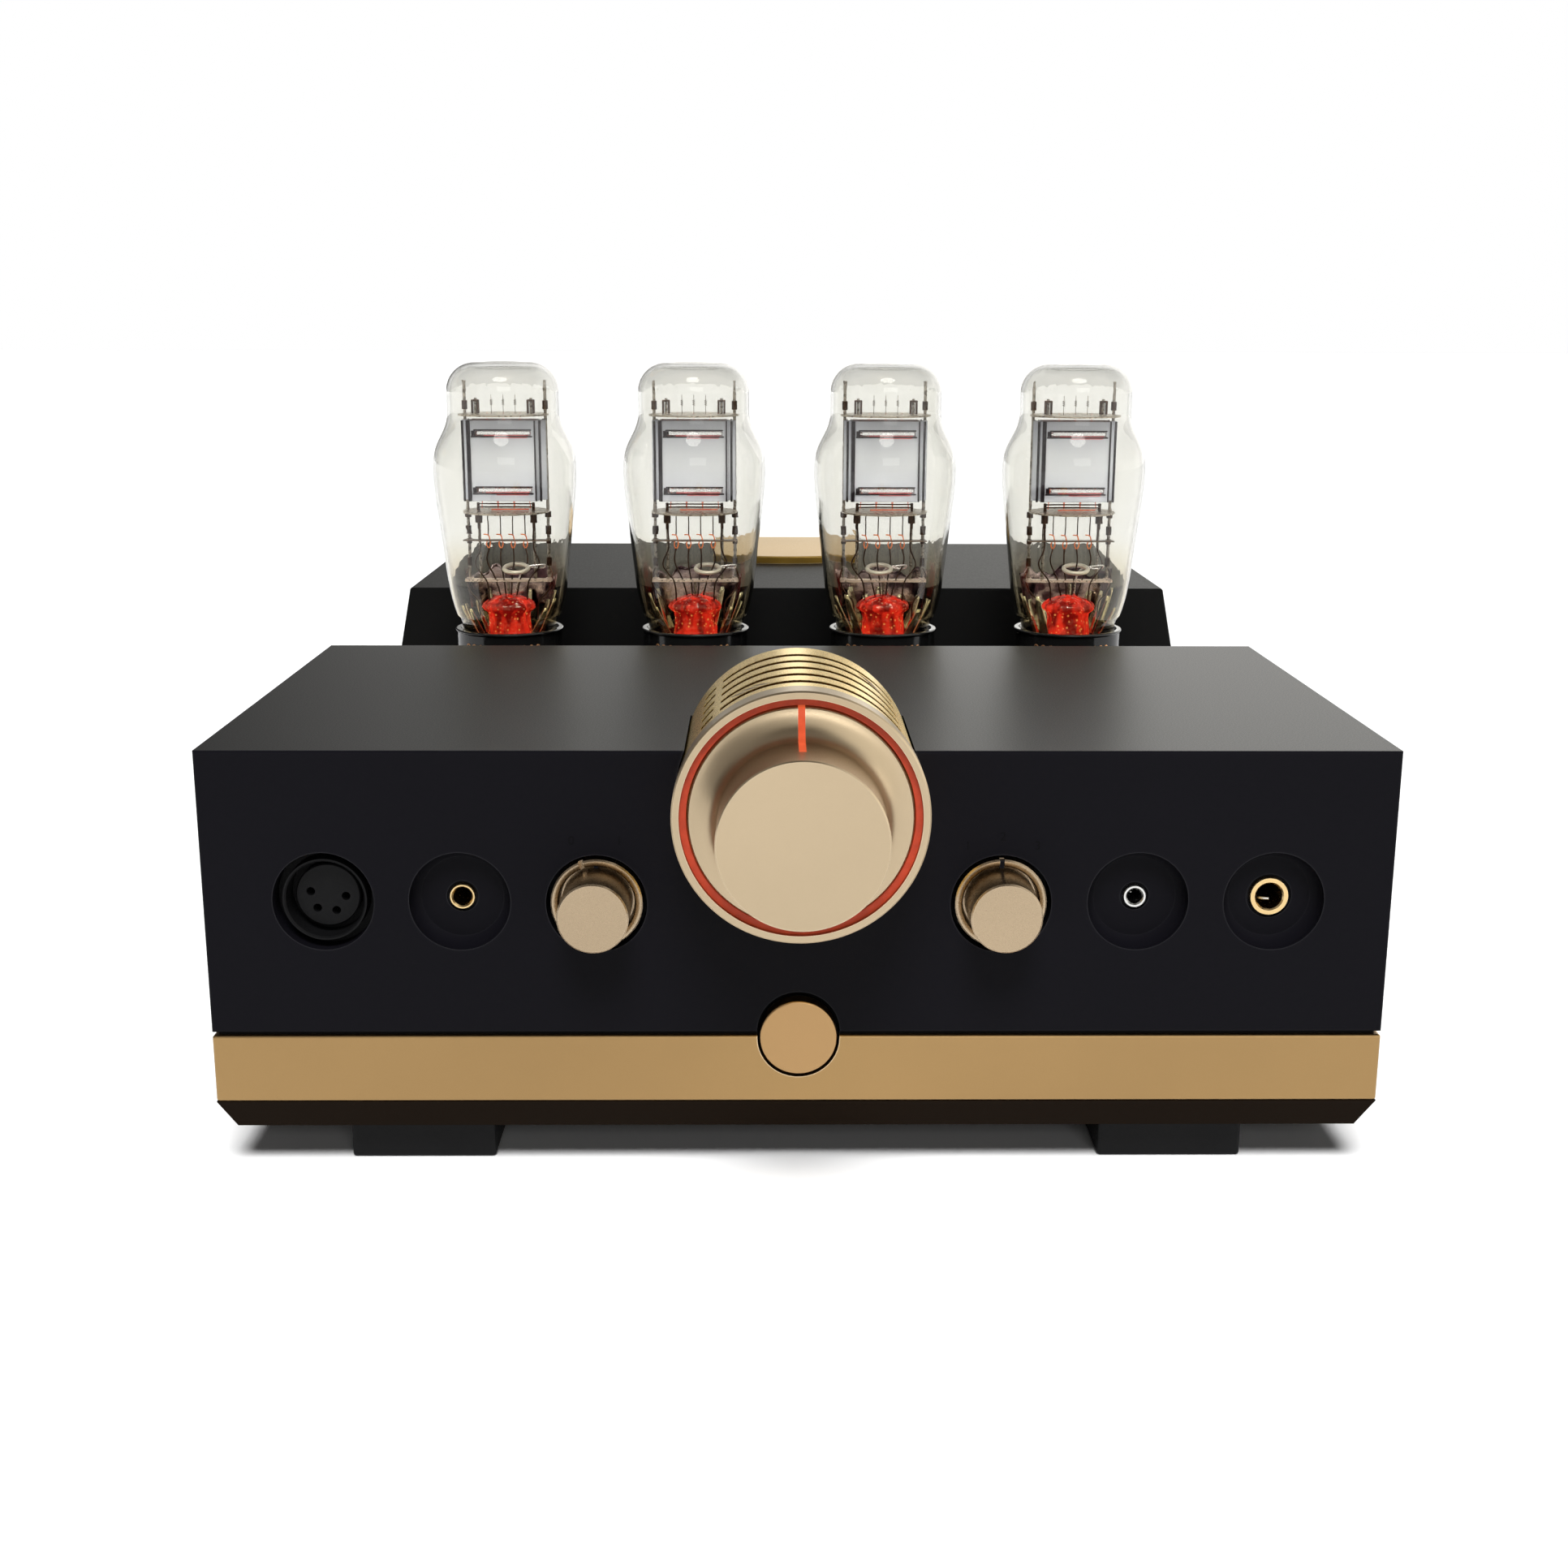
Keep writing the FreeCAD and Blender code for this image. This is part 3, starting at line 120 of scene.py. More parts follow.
def mixed(tree, factor, first, second):
    """Colour between first and second, each a colour or another node's output."""
    mix = node(tree, "ShaderNodeMix", data_type="RGBA")
    tree.links.new(factor, mix.inputs["Factor"])
    for socket, value in ((mix.inputs[6], first), (mix.inputs[7], second)):
        if isinstance(value, bpy.types.NodeSocket):
            tree.links.new(value, socket)
        else:
            socket.default_value = (*value, 1.0)
    return mix.outputs[2]


def scaled(colour, factor):
    return tuple(min(1.0, channel * factor) for channel in colour)


def add_bump(tree, shader, height, strength, distance):
    bump = node(tree, "ShaderNodeBump")
    bump.inputs["Strength"].default_value = strength
    bump.inputs["Distance"].default_value = distance
    tree.links.new(height, bump.inputs["Height"])
    tree.links.new(bump.outputs["Normal"], shader.inputs["Normal"])


def outer_edge_mask(tree, radius):
    """0 on flat areas, rising towards 1 on the outer edges."""
    bevel = node(tree, "ShaderNodeBevel", samples=4)
    bevel.inputs["Radius"].default_value = radius
    geometry = node(tree, "ShaderNodeNewGeometry")
    dot = node(tree, "ShaderNodeVectorMath", operation="DOT_PRODUCT")
    tree.links.new(bevel.outputs["Normal"], dot.inputs[0])
    tree.links.new(geometry.outputs["Normal"], dot.inputs[1])
    return ranged(tree, dot.outputs["Value"], 1.0, 0.0, 0.75, 0.99)


def coated(name, colour, rough, metallic, grain=2600.0, depth=0.00002, specular=0.5, vary=0.06,
           edge=None, edge_radius=0.0006, stretch=(1, 1, 1)):
    """Blasted, painted or anodised metal: broad tone changes, fine grain, and lighter edges that
    are partly wear and partly a painted highlight.
    """
    material, tree, shader = new_material(name)
    broad = noise(tree, 9.0, 4.0)
    fine = noise(tree, grain, 2.0, stretch)
    tone = mixed(tree, ranged(tree, broad, 0.0, 1.0), scaled(colour, 1 - vary),
                 scaled(colour, 1 + vary))
    if edge is not None:
        # Edge colour: partly wear, partly a painted highlight along the outer edges.
        tone = mixed(tree, outer_edge_mask(tree, edge_radius), tone, edge)
    tree.links.new(tone, shader.inputs["Base Color"])
    tree.links.new(ranged(tree, fine, rough - 0.04, rough + 0.06), shader.inputs["Roughness"])
    shader.inputs["Metallic"].default_value = metallic
    shader.inputs["Specular IOR Level"].default_value = specular
    add_bump(tree, shader, fine, 0.35, depth)
    return material


def moulded(name, colour, rough, specular=0.4):
    """Moulded plastic or ceramic: slight mottling and a soft surface texture."""
    material, tree, shader = new_material(name)
    broad = noise(tree, 60.0, 3.0)
    fine = noise(tree, 1400.0, 2.0)
    tone = mixed(tree, ranged(tree, broad, 0.0, 1.0), scaled(colour, 0.85), scaled(colour, 1.15))
    tree.links.new(tone, shader.inputs["Base Color"])
    tree.links.new(ranged(tree, fine, rough - 0.05, rough + 0.08), shader.inputs["Roughness"])
    shader.inputs["Specular IOR Level"].default_value = specular
    add_bump(tree, shader, fine, 0.25, 0.00003)
    return material


def lit(name, body, dark, bright, strength):
    """Translucent plastic or hot metal of a dull body colour with an uneven glow."""
    material, tree, shader = new_material(name)
    patch = noise(tree, 400.0, 3.0)
    fade = ranged(tree, patch, 0.0, 1.0)
    tree.links.new(mixed(tree, fade, body, scaled(body, 1.3)), shader.inputs["Base Color"])
    tree.links.new(mixed(tree, fade, dark, bright), shader.inputs["Emission Color"])
    tree.links.new(ranged(tree, patch, 0.32, 0.42), shader.inputs["Roughness"])
    shader.inputs["Emission Strength"].default_value = strength
    shader.inputs["Specular IOR Level"].default_value = 0.2
    add_bump(tree, shader, patch, 0.1, 0.00002)
    return material


def band(tree, height):
    """Distance above or below a height over the standing surface, in metres."""
    coords = node(tree, "ShaderNodeTexCoord")
    split = node(tree, "ShaderNodeSeparateXYZ")
    tree.links.new(coords.outputs["Object"], split.inputs["Vector"])
    offset = node(tree, "ShaderNodeMath", operation="SUBTRACT")
    tree.links.new(split.outputs["Z"], offset.inputs[0])
    offset.inputs[1].default_value = height
    size = node(tree, "ShaderNodeMath", operation="ABSOLUTE")
    tree.links.new(offset.outputs["Value"], size.inputs[0])
    return size.outputs["Value"]


def height_ramp(tree, start, end):
    """0 below start and 1 above end, in metres above the standing surface."""
    coords = node(tree, "ShaderNodeTexCoord")
    split = node(tree, "ShaderNodeSeparateXYZ")
    tree.links.new(coords.outputs["Object"], split.inputs["Vector"])
    return ranged(tree, split.outputs["Z"], 0.0, 1.0, start, end)


def tube_glass():
    """Clear glass with a cream tint, with painted shade where it is seen edge-on, and smoky near
    the foot.
    """
    material, tree, shader = new_material("blown_glass")
    foot = low("tube_1_glass").z
    rise = height_ramp(tree, foot + 0.024, foot + 0.054)
    streaks = noise(tree, 70.0, 3.0, (1, 1, 0.3))
    clear = mixed(tree, ranged(tree, streaks, 0.0, 1.0), (0.845, 0.842, 0.812),
                  (0.820, 0.815, 0.775))
    smoky = mixed(tree, ranged(tree, streaks, 0.0, 1.0, 0.4, 0.6), (0.74, 0.68, 0.50),
                  (0.60, 0.50, 0.33))
    tint = mixed(tree, rise, smoky, clear)
    edge = node(tree, "ShaderNodeLayerWeight")
    edge.inputs["Blend"].default_value = 0.5
    # Painted shade: the glass is coloured dark where it is seen edge-on.
    rim = ranged(tree, edge.outputs["Facing"], 0.0, 1.0, 0.66, 0.96)
    tree.links.new(mixed(tree, rim, tint, (0.16, 0.15, 0.12)), shader.inputs["Base Color"])
    tree.links.new(ranged(tree, streaks, 0.0, 0.012), shader.inputs["Roughness"])
    shader.inputs["Transmission Weight"].default_value = 1.0
    shader.inputs["IOR"].default_value = 1.38
    add_bump(tree, shader, noise(tree, 45.0, 1.0), 0.08, 0.0004)
    return material


def anode_plate():
    """Blasted nickel plate, with a painted highlight across the middle of its faces."""
    material, tree, shader = new_material("anode_plate")
    centre = middle("tube_1_anode").z
    # Painted highlight: a pale band across the middle height of the plate's faces.
    middle_highlight = ranged(tree, band(tree, centre), 1.0, 0.0, 0.002, 0.012)
    patch = noise(tree, 130.0, 3.0)
    dull = mixed(tree, ranged(tree, patch, 0.0, 1.0), (0.66, 0.68, 0.76), (0.76, 0.78, 0.86))
    tone = mixed(tree, middle_highlight, dull, (0.88, 0.90, 0.95))
    tree.links.new(mixed(tree, outer_edge_mask(tree, 0.0004), tone, (0.10, 0.09, 0.10)),
                   shader.inputs["Base Color"])
    fine = noise(tree, 1800.0, 2.0)
    tree.links.new(ranged(tree, fine, 0.36, 0.5), shader.inputs["Roughness"])
    shader.inputs["Metallic"].default_value = 0.1
    add_bump(tree, shader, fine, 0.3, 0.00002)
    return material


def mount_parts():
    """Grey wire and strip, with tan mica where the two spacers are."""
    material, tree, shader = new_material("mount_parts")
    patch = noise(tree, 900.0, 3.0)
    wire = mixed(tree, ranged(tree, patch, 0.0, 1.0), (0.20, 0.17, 0.14), (0.42, 0.38, 0.33))
    mica = mixed(tree, ranged(tree, patch, 0.0, 1.0), (0.36, 0.30, 0.23), (0.52, 0.46, 0.37))
    upper = ranged(tree, band(tree, MICA_HEIGHTS[0]), 1.0, 0.0, 0.0003, 0.0004)
    lower = ranged(tree, band(tree, MICA_HEIGHTS[1]), 1.0, 0.0, 0.0003, 0.0004)
    strip = ranged(tree, band(tree, STRIP_HEIGHT), 1.0, 0.0, 0.0005, 0.0006)
    tone = mixed(tree, upper, mixed(tree, lower, wire, mica), mica)
    tone = mixed(tree, strip, tone, (0.97, 0.82, 0.76))
    tree.links.new(mixed(tree, outer_edge_mask(tree, 0.0002), tone, (0.22, 0.16, 0.11)),
                   shader.inputs["Base Color"])
    tree.links.new(ranged(tree, patch, 0.22, 0.38), shader.inputs["Roughness"])
    shader.inputs["Metallic"].default_value = 0.6
    add_bump(tree, shader, patch, 0.2, 0.00003)
    return material


def flash_mirror():
    """Silvery brown getter film on the inside of the glass."""
    material, tree, shader = new_material("getter_film")
    cloud = noise(tree, 110.0, 4.0, (1, 1, 1.6))
    tone = mixed(tree, ranged(tree, cloud, 0.0, 1.0, 0.46, 0.60), (0.06, 0.030, 0.038),
                 (0.46, 0.37, 0.38))
    tree.links.new(tone, shader.inputs["Base Color"])
    tree.links.new(ranged(tree, cloud, 0.08, 0.22), shader.inputs["Roughness"])
    shader.inputs["Metallic"].default_value = 1.0
    add_bump(tree, shader, cloud, 0.5, 0.0012)
    return material


def barrel_finish():
    """Bright anodised gold, with painted shade in dark brown on the floors of the turned grooves.
    """
    material, tree, shader = new_material("barrel_gold")
    axis = middle("volume_barrel")
    coords = node(tree, "ShaderNodeTexCoord")
    flat = node(tree, "ShaderNodeVectorMath", operation="MULTIPLY")
    flat.inputs[1].default_value = (1, 0, 1)
    tree.links.new(coords.outputs["Object"], flat.inputs[0])
    reach = node(tree, "ShaderNodeVectorMath", operation="DISTANCE")
    reach.inputs[1].default_value = (axis.x, 0, axis.z)
    tree.links.new(flat.outputs["Vector"], reach.inputs[0])
    radius = (high("volume_barrel").x - low("volume_barrel").x) / 2
    # Painted shade: inside the turned radius, on the groove floors, the colour turns dark brown.
    skin = ranged(tree, reach.outputs["Value"], 0.0, 1.0, radius - 0.0002, radius - 0.00008)
    grain = noise(tree, 2600.0, 2.0, (1, 6, 1))
    gold = mixed(tree, ranged(tree, grain, 0.0, 1.0), (0.96, 0.69, 0.24), (1.0, 0.77, 0.31))
    tree.links.new(mixed(tree, skin, (0.17, 0.070, 0.016), gold), shader.inputs["Base Color"])
    tree.links.new(ranged(tree, grain, 0.24, 0.34), shader.inputs["Roughness"])
    shader.inputs["Metallic"].default_value = 1.0
    add_bump(tree, shader, grain, 0.15, 0.00002)
    return material


def laminated():
    """Edges of stacked core plates under varnish."""
    material, tree, shader = new_material("core_laminations")
    lines = node(tree, "ShaderNodeTexWave", bands_direction="Y")
    lines.inputs["Scale"].default_value = 320.0
    lines.inputs["Distortion"].default_value = 0.6
    tree.links.new(object_coords(tree), lines.inputs["Vector"])
    tone = mixed(tree, lines.outputs["Fac"], (0.05, 0.045, 0.04), (0.16, 0.14, 0.12))
    tree.links.new(tone, shader.inputs["Base Color"])
    tree.links.new(ranged(tree, noise(tree, 500.0), 0.35, 0.55), shader.inputs["Roughness"])
    shader.inputs["Metallic"].default_value = 0.7
    add_bump(tree, shader, lines.outputs["Fac"], 0.4, 0.0001)
    return material


def solder_mask():
    """Green circuit board with tracks showing through the mask."""
    material, tree, shader = new_material("solder_mask")
    tracks = node(tree, "ShaderNodeTexBrick")
    tracks.inputs["Scale"].default_value = 160.0
    tracks.inputs["Mortar Size"].default_value = 0.03
    tracks.inputs["Color1"].default_value = (0.012, 0.085, 0.035, 1)
    tracks.inputs["Color2"].default_value = (0.010, 0.070, 0.030, 1)
    tracks.inputs["Mortar"].default_value = (0.05, 0.20, 0.09, 1)
    tree.links.new(object_coords(tree), tracks.inputs["Vector"])
    tree.links.new(tracks.outputs["Color"], shader.inputs["Base Color"])
    tree.links.new(ranged(tree, noise(tree, 300.0), 0.25, 0.4), shader.inputs["Roughness"])
    add_bump(tree, shader, tracks.outputs["Fac"], 0.3, 0.0001)
    return material


def stem_glow():
    """Glass stem with a painted red glow in place of the socket lamp's light, and painted bright
    glints.
    """
    material, tree, shader = new_material("stem_glow")
    cells = node(tree, "ShaderNodeTexVoronoi")
    cells.inputs["Scale"].default_value = 620.0
    tree.links.new(object_coords(tree), cells.inputs["Vector"])
    patch = noise(tree, 300.0, 4.0, (1, 1, 0.35))
    # Painted light: the red glow stands in for the socket lamp's light passing up through the
    # glass.
    red = mixed(tree, ranged(tree, patch, 0.0, 1.0, 0.42, 0.60), (0.20, 0.003, 0.003),
                (0.95, 0.035, 0.018))
    # Painted glints: bright orange specks in the glow of the stem's lowest part.
    specks = ranged(tree, cells.outputs["Distance"], 1.0, 0.0, 0.06, 0.30)
    lower_part = height_ramp(tree, FLASH_FOOT + 2 * MM, FLASH_FOOT)
    sparkle = node(tree, "ShaderNodeMath", operation="MULTIPLY")
    tree.links.new(specks, sparkle.inputs[0])
    tree.links.new(lower_part, sparkle.inputs[1])
    tone = mixed(tree, sparkle.outputs["Value"], red, (1.0, 0.36, 0.10))
    tree.links.new(mixed(tree, specks, (0.10, 0.01, 0.008), (0.5, 0.3, 0.2)),
                   shader.inputs["Base Color"])
    tree.links.new(tone, shader.inputs["Emission Color"])
    tree.links.new(ranged(tree, patch, 0.08, 0.2), shader.inputs["Roughness"])
    shader.inputs["Emission Strength"].default_value = 1.0
    add_bump(tree, shader, cells.outputs["Distance"], 0.6, 0.0006)
    return material


CHAMPAGNE = (0.478, 0.377, 0.249)
DULL_RED = (0.10, 0.004, 0.003)
# The edge colours given below are partly wear and partly a painted highlight along the outer edges.
MATERIALS = {
    "panel_black": coated("panel_black", (0.0034, 0.0032, 0.0046), 0.55, 0.0, specular=0.06,
                          edge=(0.018, 0.018, 0.020)),
    "housing_grey": coated("housing_grey", (0.0045, 0.0045, 0.0043), 0.40, 0.0, specular=0.20,
                           edge=(0.02, 0.02, 0.02)),
    "chassis_black": coated("chassis_black", (0.0028, 0.0025, 0.0025), 0.5, 0.0, specular=0.04,
                            edge=(0.02, 0.02, 0.02)),
    "cover_dark": coated("cover_dark", (0.0040, 0.0040, 0.0039), 0.45, 0.0, specular=0.05,
                         edge=(0.02, 0.02, 0.02)),
    "pan_dark": coated("pan_dark", (0.008, 0.0045, 0.0022), 0.5, 0.0, specular=0.02),
    "belt_gold": coated("belt_gold", (0.337, 0.214, 0.092), 0.36, 1.0, edge=(0.80, 0.64, 0.42)),
    "badge_gold": coated("badge_gold", (0.47, 0.285, 0.055), 0.34, 1.0, specular=0.2,
                         edge=(0.95, 0.85, 0.62)),
    "barrel_gold": barrel_finish(),
    "champagne": coated("champagne", CHAMPAGNE, 0.32, 1.0, edge=(0.70, 0.58, 0.40),
                        edge_radius=0.0004),
    "selector_gold": coated("selector_gold", (0.41, 0.315, 0.208), 0.29, 1.0,
                            edge=(0.70, 0.58, 0.44), edge_radius=0.0003),
    "light_red": lit("light_red", (0.22, 0.022, 0.009), (0.44, 0.050, 0.014),
                     (0.56, 0.070, 0.020), 0.30),
    "steel": coated("turned_steel", (0.55, 0.55, 0.56), 0.25, 1.0, stretch=(1, 30, 1)),
    "screw_black": coated("screw_black", (0.03, 0.03, 0.03), 0.35, 0.8, edge=(0.25, 0.25, 0.25),
                          edge_radius=0.0002),
    "jack_gold": coated("jack_gold", (0.72, 0.52, 0.25), 0.22, 1.0, grain=1200.0,
                        edge=(0.85, 0.72, 0.48), edge_radius=0.0002),
    "jack_silver": coated("jack_silver", (0.66, 0.66, 0.64), 0.22, 1.0, grain=1200.0,
                          edge=(0.85, 0.85, 0.83), edge_radius=0.0002),
    "insulator_black": moulded("insulator_black", (0.0035, 0.0035, 0.0038), 0.5, 0.12),
    "contact_metal": coated("contact_metal", (0.70, 0.62, 0.45), 0.25, 1.0),
    "socket_ceramic": moulded("socket_ceramic", (0.70, 0.68, 0.62), 0.5, 0.4),
    "led_red": lit("led_red", DULL_RED, (0.8, 0.03, 0.01), (1.0, 0.10, 0.03), 2.0),
    "board_green": solder_mask(),
    "capacitor_sleeve": moulded("capacitor_sleeve", (0.015, 0.02, 0.05), 0.3, 0.5),
    "core_steel": laminated(),
    "base_black": moulded("base_black", (0.005, 0.005, 0.005), 0.12, 0.35),
    "tube_glass": tube_glass(),
    "anode_grey": anode_plate(),
    "mount_metal": mount_parts(),
}
NODE_LOOKS = {
    "volume_pointer": lit("pointer_red", DULL_RED, (0.72, 0.115, 0.035), (0.86, 0.15, 0.05), 0.72),
    "power_button": coated("button_gold", (0.385, 0.238, 0.108), 0.32, 1.0, edge=(0.85, 0.72, 0.50),
                           edge_radius=0.0004),
}
SLOT_OF = {entry["node"]: entry["material_slot"] for entry in frame["record"]["subparts"]}


def dress_frame():
    for name, obj in frame["nodes"].items():
        obj.data.materials.clear()
        obj.data.materials.append(NODE_LOOKS.get(name, MATERIALS[SLOT_OF[name]]))


# ---------------------------------------------------------------- piece building

def finish_piece(name, mesh, material, body):
    obj = bpy.data.objects.new(name, mesh)
    bpy.context.collection.objects.link(obj)
    mesh.materials.append(material)
    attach(obj, body)
    return obj


def ring_around(centre, along, radius, count):
    """Points of a circle about centre, square to the direction along."""
    side = along.orthogonal().normalized()
    up = along.cross(side).normalized()
    points = []
    for i in range(count):
        a = 2 * math.pi * i / count
        points.append(centre + side * radius * math.cos(a) + up * radius * math.sin(a))
    return points


def add_wire(bm, path, radius, sides=8, closed=False):
    """Round wire along a list of points, added to bm with capped ends unless closed."""
    count = len(path)
    rings = []
    side = None
    for i, point in enumerate(path):
        if closed:
            along = (path[(i + 1) % count] - path[i - 1]).normalized()
        else:
            along = (path[min(i + 1, count - 1)] - path[max(i - 1, 0)]).normalized()
        if side is None:
            side = along.orthogonal().normalized()
        side = (side - along * side.dot(along)).normalized()
        up = along.cross(side)
        ring = []
        for k in range(sides):
            a = 2 * math.pi * k / sides
            ring.append(bm.verts.new(point + (side * math.cos(a) + up * math.sin(a)) * radius))
        rings.append(ring)
    spans = count if closed else count - 1
    for i in range(spans):
        first = rings[i]
        second = rings[(i + 1) % count]
        for k in range(sides):
            bm.faces.new((first[k], first[(k + 1) % sides], second[(k + 1) % sides], second[k]))
    if not closed:
        bm.faces.new(rings[0][::-1])
        bm.faces.new(rings[-1])


def smooth_path(points, steps=6):
    """Catmull-Rom curve through the points."""
    path = []
    last = len(points) - 1
    for i in range(last):
        before = points[max(i - 1, 0)]
        here = points[i]
        there = points[i + 1]
        after = points[min(i + 2, last)]
        for step in range(steps):
            t = step / steps
            path.append(0.5 * (2 * here + (there - before) * t
                               + (2 * before - 5 * here + 4 * there - after) * t * t
                               + (3 * here - before - 3 * there + after) * t ** 3))
    path.append(points[last])
    return path


def add_turned(bm, profile, centre, segments=32):
    """Surface of revolution about a vertical axis through centre, closed where the radius is 0."""
    rings = []
    for radius, z in profile:
        if radius == 0:
            rings.append([bm.verts.new((centre.x, centre.y, z))])
        else:
            rings.append([bm.verts.new(point) for point in
                          ring_around(Vector((centre.x, centre.y, z)), Vector((0, 0, 1)),
                                      radius, segments)])
    for first, second in zip(rings, rings[1:]):
        for k in range(segments):
            a = first[k % len(first)]
            b = first[(k + 1) % len(first)]
            c = second[(k + 1) % len(second)]
            d = second[k % len(second)]
            corners = []
            for vert in (a, b, c, d):
                if vert not in corners:
                    corners.append(vert)
            if len(corners) > 2:
                bm.faces.new(corners)


def mesh_from(bm, name, smooth=True):
    bmesh.ops.recalc_face_normals(bm, faces=bm.faces)
    mesh = bpy.data.meshes.new(name)
    bm.to_mesh(mesh)
    bm.free()
    for polygon in mesh.polygons:
        polygon.use_smooth = smooth
    return mesh


def wires(name, paths, radius, material, body):
    bm = bmesh.new()
    for path in paths:
        add_wire(bm, path, radius)
    finish_piece(name, mesh_from(bm, name), material, body)


# ---------------------------------------------------------------- tube internals

WIRE_GREY = coated("wire_grey", (0.20, 0.17, 0.14), 0.3, 1.0, grain=1500.0)
CRIMP_DARK = coated("crimp_dark", (0.055, 0.030, 0.020), 0.4, 0.9, grain=1500.0,
                    edge=(0.30, 0.20, 0.13), edge_radius=0.0002)
# Near-black strips: painted shade on the folds beside the anode plate and at its slots.
CHANNEL_DARK = coated("channel_dark", (0.020, 0.014, 0.018), 0.42, 0.8, grain=1500.0,
                      edge=(0.20, 0.16, 0.18), edge_radius=0.0002)
BRIGHT_STRIP = coated("bright_strip", (0.92, 0.92, 0.94), 0.25, 0.8, grain=1500.0)
GETTER_WHITE = coated("getter_white", (0.90, 0.86, 0.76), 0.35, 0.3, grain=1200.0)
HOT_WIRE = lit("hot_wire", DULL_RED, (0.7, 0.08, 0.04), (1.0, 0.26, 0.10), 0.8)
WARM_WIRE = lit("warm_wire", (0.4, 0.1, 0.1), (0.42, 0.06, 0.08), (0.90, 0.24, 0.24), 0.55)
ORANGE_HOOK = lit("orange_hook", (0.20, 0.05, 0.02), (0.5, 0.10, 0.03), (0.95, 0.28, 0.08), 0.8)
STEM_GLOW = stem_glow()
FLASH = flash_mirror()
MICA = moulded("mica_sheet", (0.20, 0.13, 0.08), 0.3, 0.6)
# Glossy gold strips for the painted reflections round the stem.
STEM_SHEEN = coated("stem_sheen", (0.80, 0.70, 0.50), 0.12, 0.9, grain=300.0, depth=0.0004,
                    vary=0.5)
MARK_GOLD = coated("mark_gold", (0.80, 0.42, 0.20), 0.3, 1.0)

LEADS_MM = (-6.4, -2.1, 2.1, 6.4)
ROD_MM = 14.0
POST_MM = 9.5
FACE_MM = 6.6
ROD_Y_MM = 4.0
POST_Y_MM = -1.0
FLASH_ANGLES = (28, 152)
FLASH_FOOT_R = 16.6 * MM
FLASH_FLARE = 0.18
# Lowest and highest point of each crimp in metres, and its radius in millimetres.
ROD_CRIMPS = ((0.1860, 0.1890, 1.0), (0.1490, 0.1510, 1.15), (0.1430, 0.1460, 1.0),
              (0.1398, 0.1415, 0.9), (0.1320, 0.1350, 0.9))
POST_CRIMP = (0.1475, 0.1503, 1.25)
# Radius and height of the stem's outline in millimetres.
STEM_OUTLINE = ((0.0, 122.6), (2.6, 122.3), (4.8, 121.6), (6.9, 120.7), (8.5, 119.5), (9.2, 118.2),
                (8.4, 117.3), (7.2, 116.4), (6.9, 114.5), (7.3, 111.0), (7.9, 106.0), (9.6, 100.0),
                (12.4, 94.5))
# Painted reflections: glossy strips round each stem stand in for the reflections of the stem and
# base in the glass.
SHEEN_STRIP_COUNT = 11
SHEEN_STRIP_FOOT_MM = 108.0
SHEEN_STRIP_START = -38
SHEEN_STRIP_TURN = 256
BASE_MARK_R = 18.34 * MM
BASE_MARK_ARCS = ((-46, -8), (6, 40))


class Tube:
    """Places inside one tube, from its CAD nodes."""

    def __init__(self, number):
        self.number = number
        self.body = "tube_%d" % number
        self.name = self.body + "_"
        self.axis = middle(self.name + "glass")
        self.anode_low = low(self.name + "anode").z
        self.anode_high = high(self.name + "anode").z
        self.base_top = high(self.name + "base").z
        self.rod_top = high(self.name + "mount").z

    def at(self, x_mm, y_mm, z):
        return Vector((self.axis.x + x_mm * MM, self.axis.y + y_mm * MM, z))


def add_strip(bm, centre, size_mm, bevel_mm=0.12):
    """Small bar with softened edges; size in millimetres along X, Y and Z."""
    made = bmesh.ops.create_cube(bm, size=1.0, matrix=Matrix.Translation(centre)
                                 @ Matrix.Diagonal((*[side * MM for side in size_mm], 1.0)))
    edges = set()
    for vert in made["verts"]:
        edges.update(vert.link_edges)
    bmesh.ops.bevel(bm, geom=list(edges), offset=bevel_mm * MM, segments=1, affect="EDGES")


def add_side_channels(tube):
    """Folded channels down both sides of the anode plate, front and back, near-black as painted
    shade.
    """
    bm = bmesh.new()
    middle_z = (tube.anode_low + tube.anode_high) / 2
    height = (tube.anode_high - tube.anode_low) / MM
    for front in (-1, 1):
        y = front * FACE_MM
        add_strip(bm, tube.at(-11.3, y, middle_z), (1.3, 0.9, height))
        add_strip(bm, tube.at(11.2, y, middle_z), (0.5, 0.9, height))
        add_strip(bm, tube.at(12.9, y, middle_z), (0.8, 0.5, height))
        add_strip(bm, tube.at(-13.2, y, middle_z), (0.8, 0.5, height))
    finish_piece(tube.name + "channels", mesh_from(bm, "channels", False), CHANNEL_DARK, tube.body)


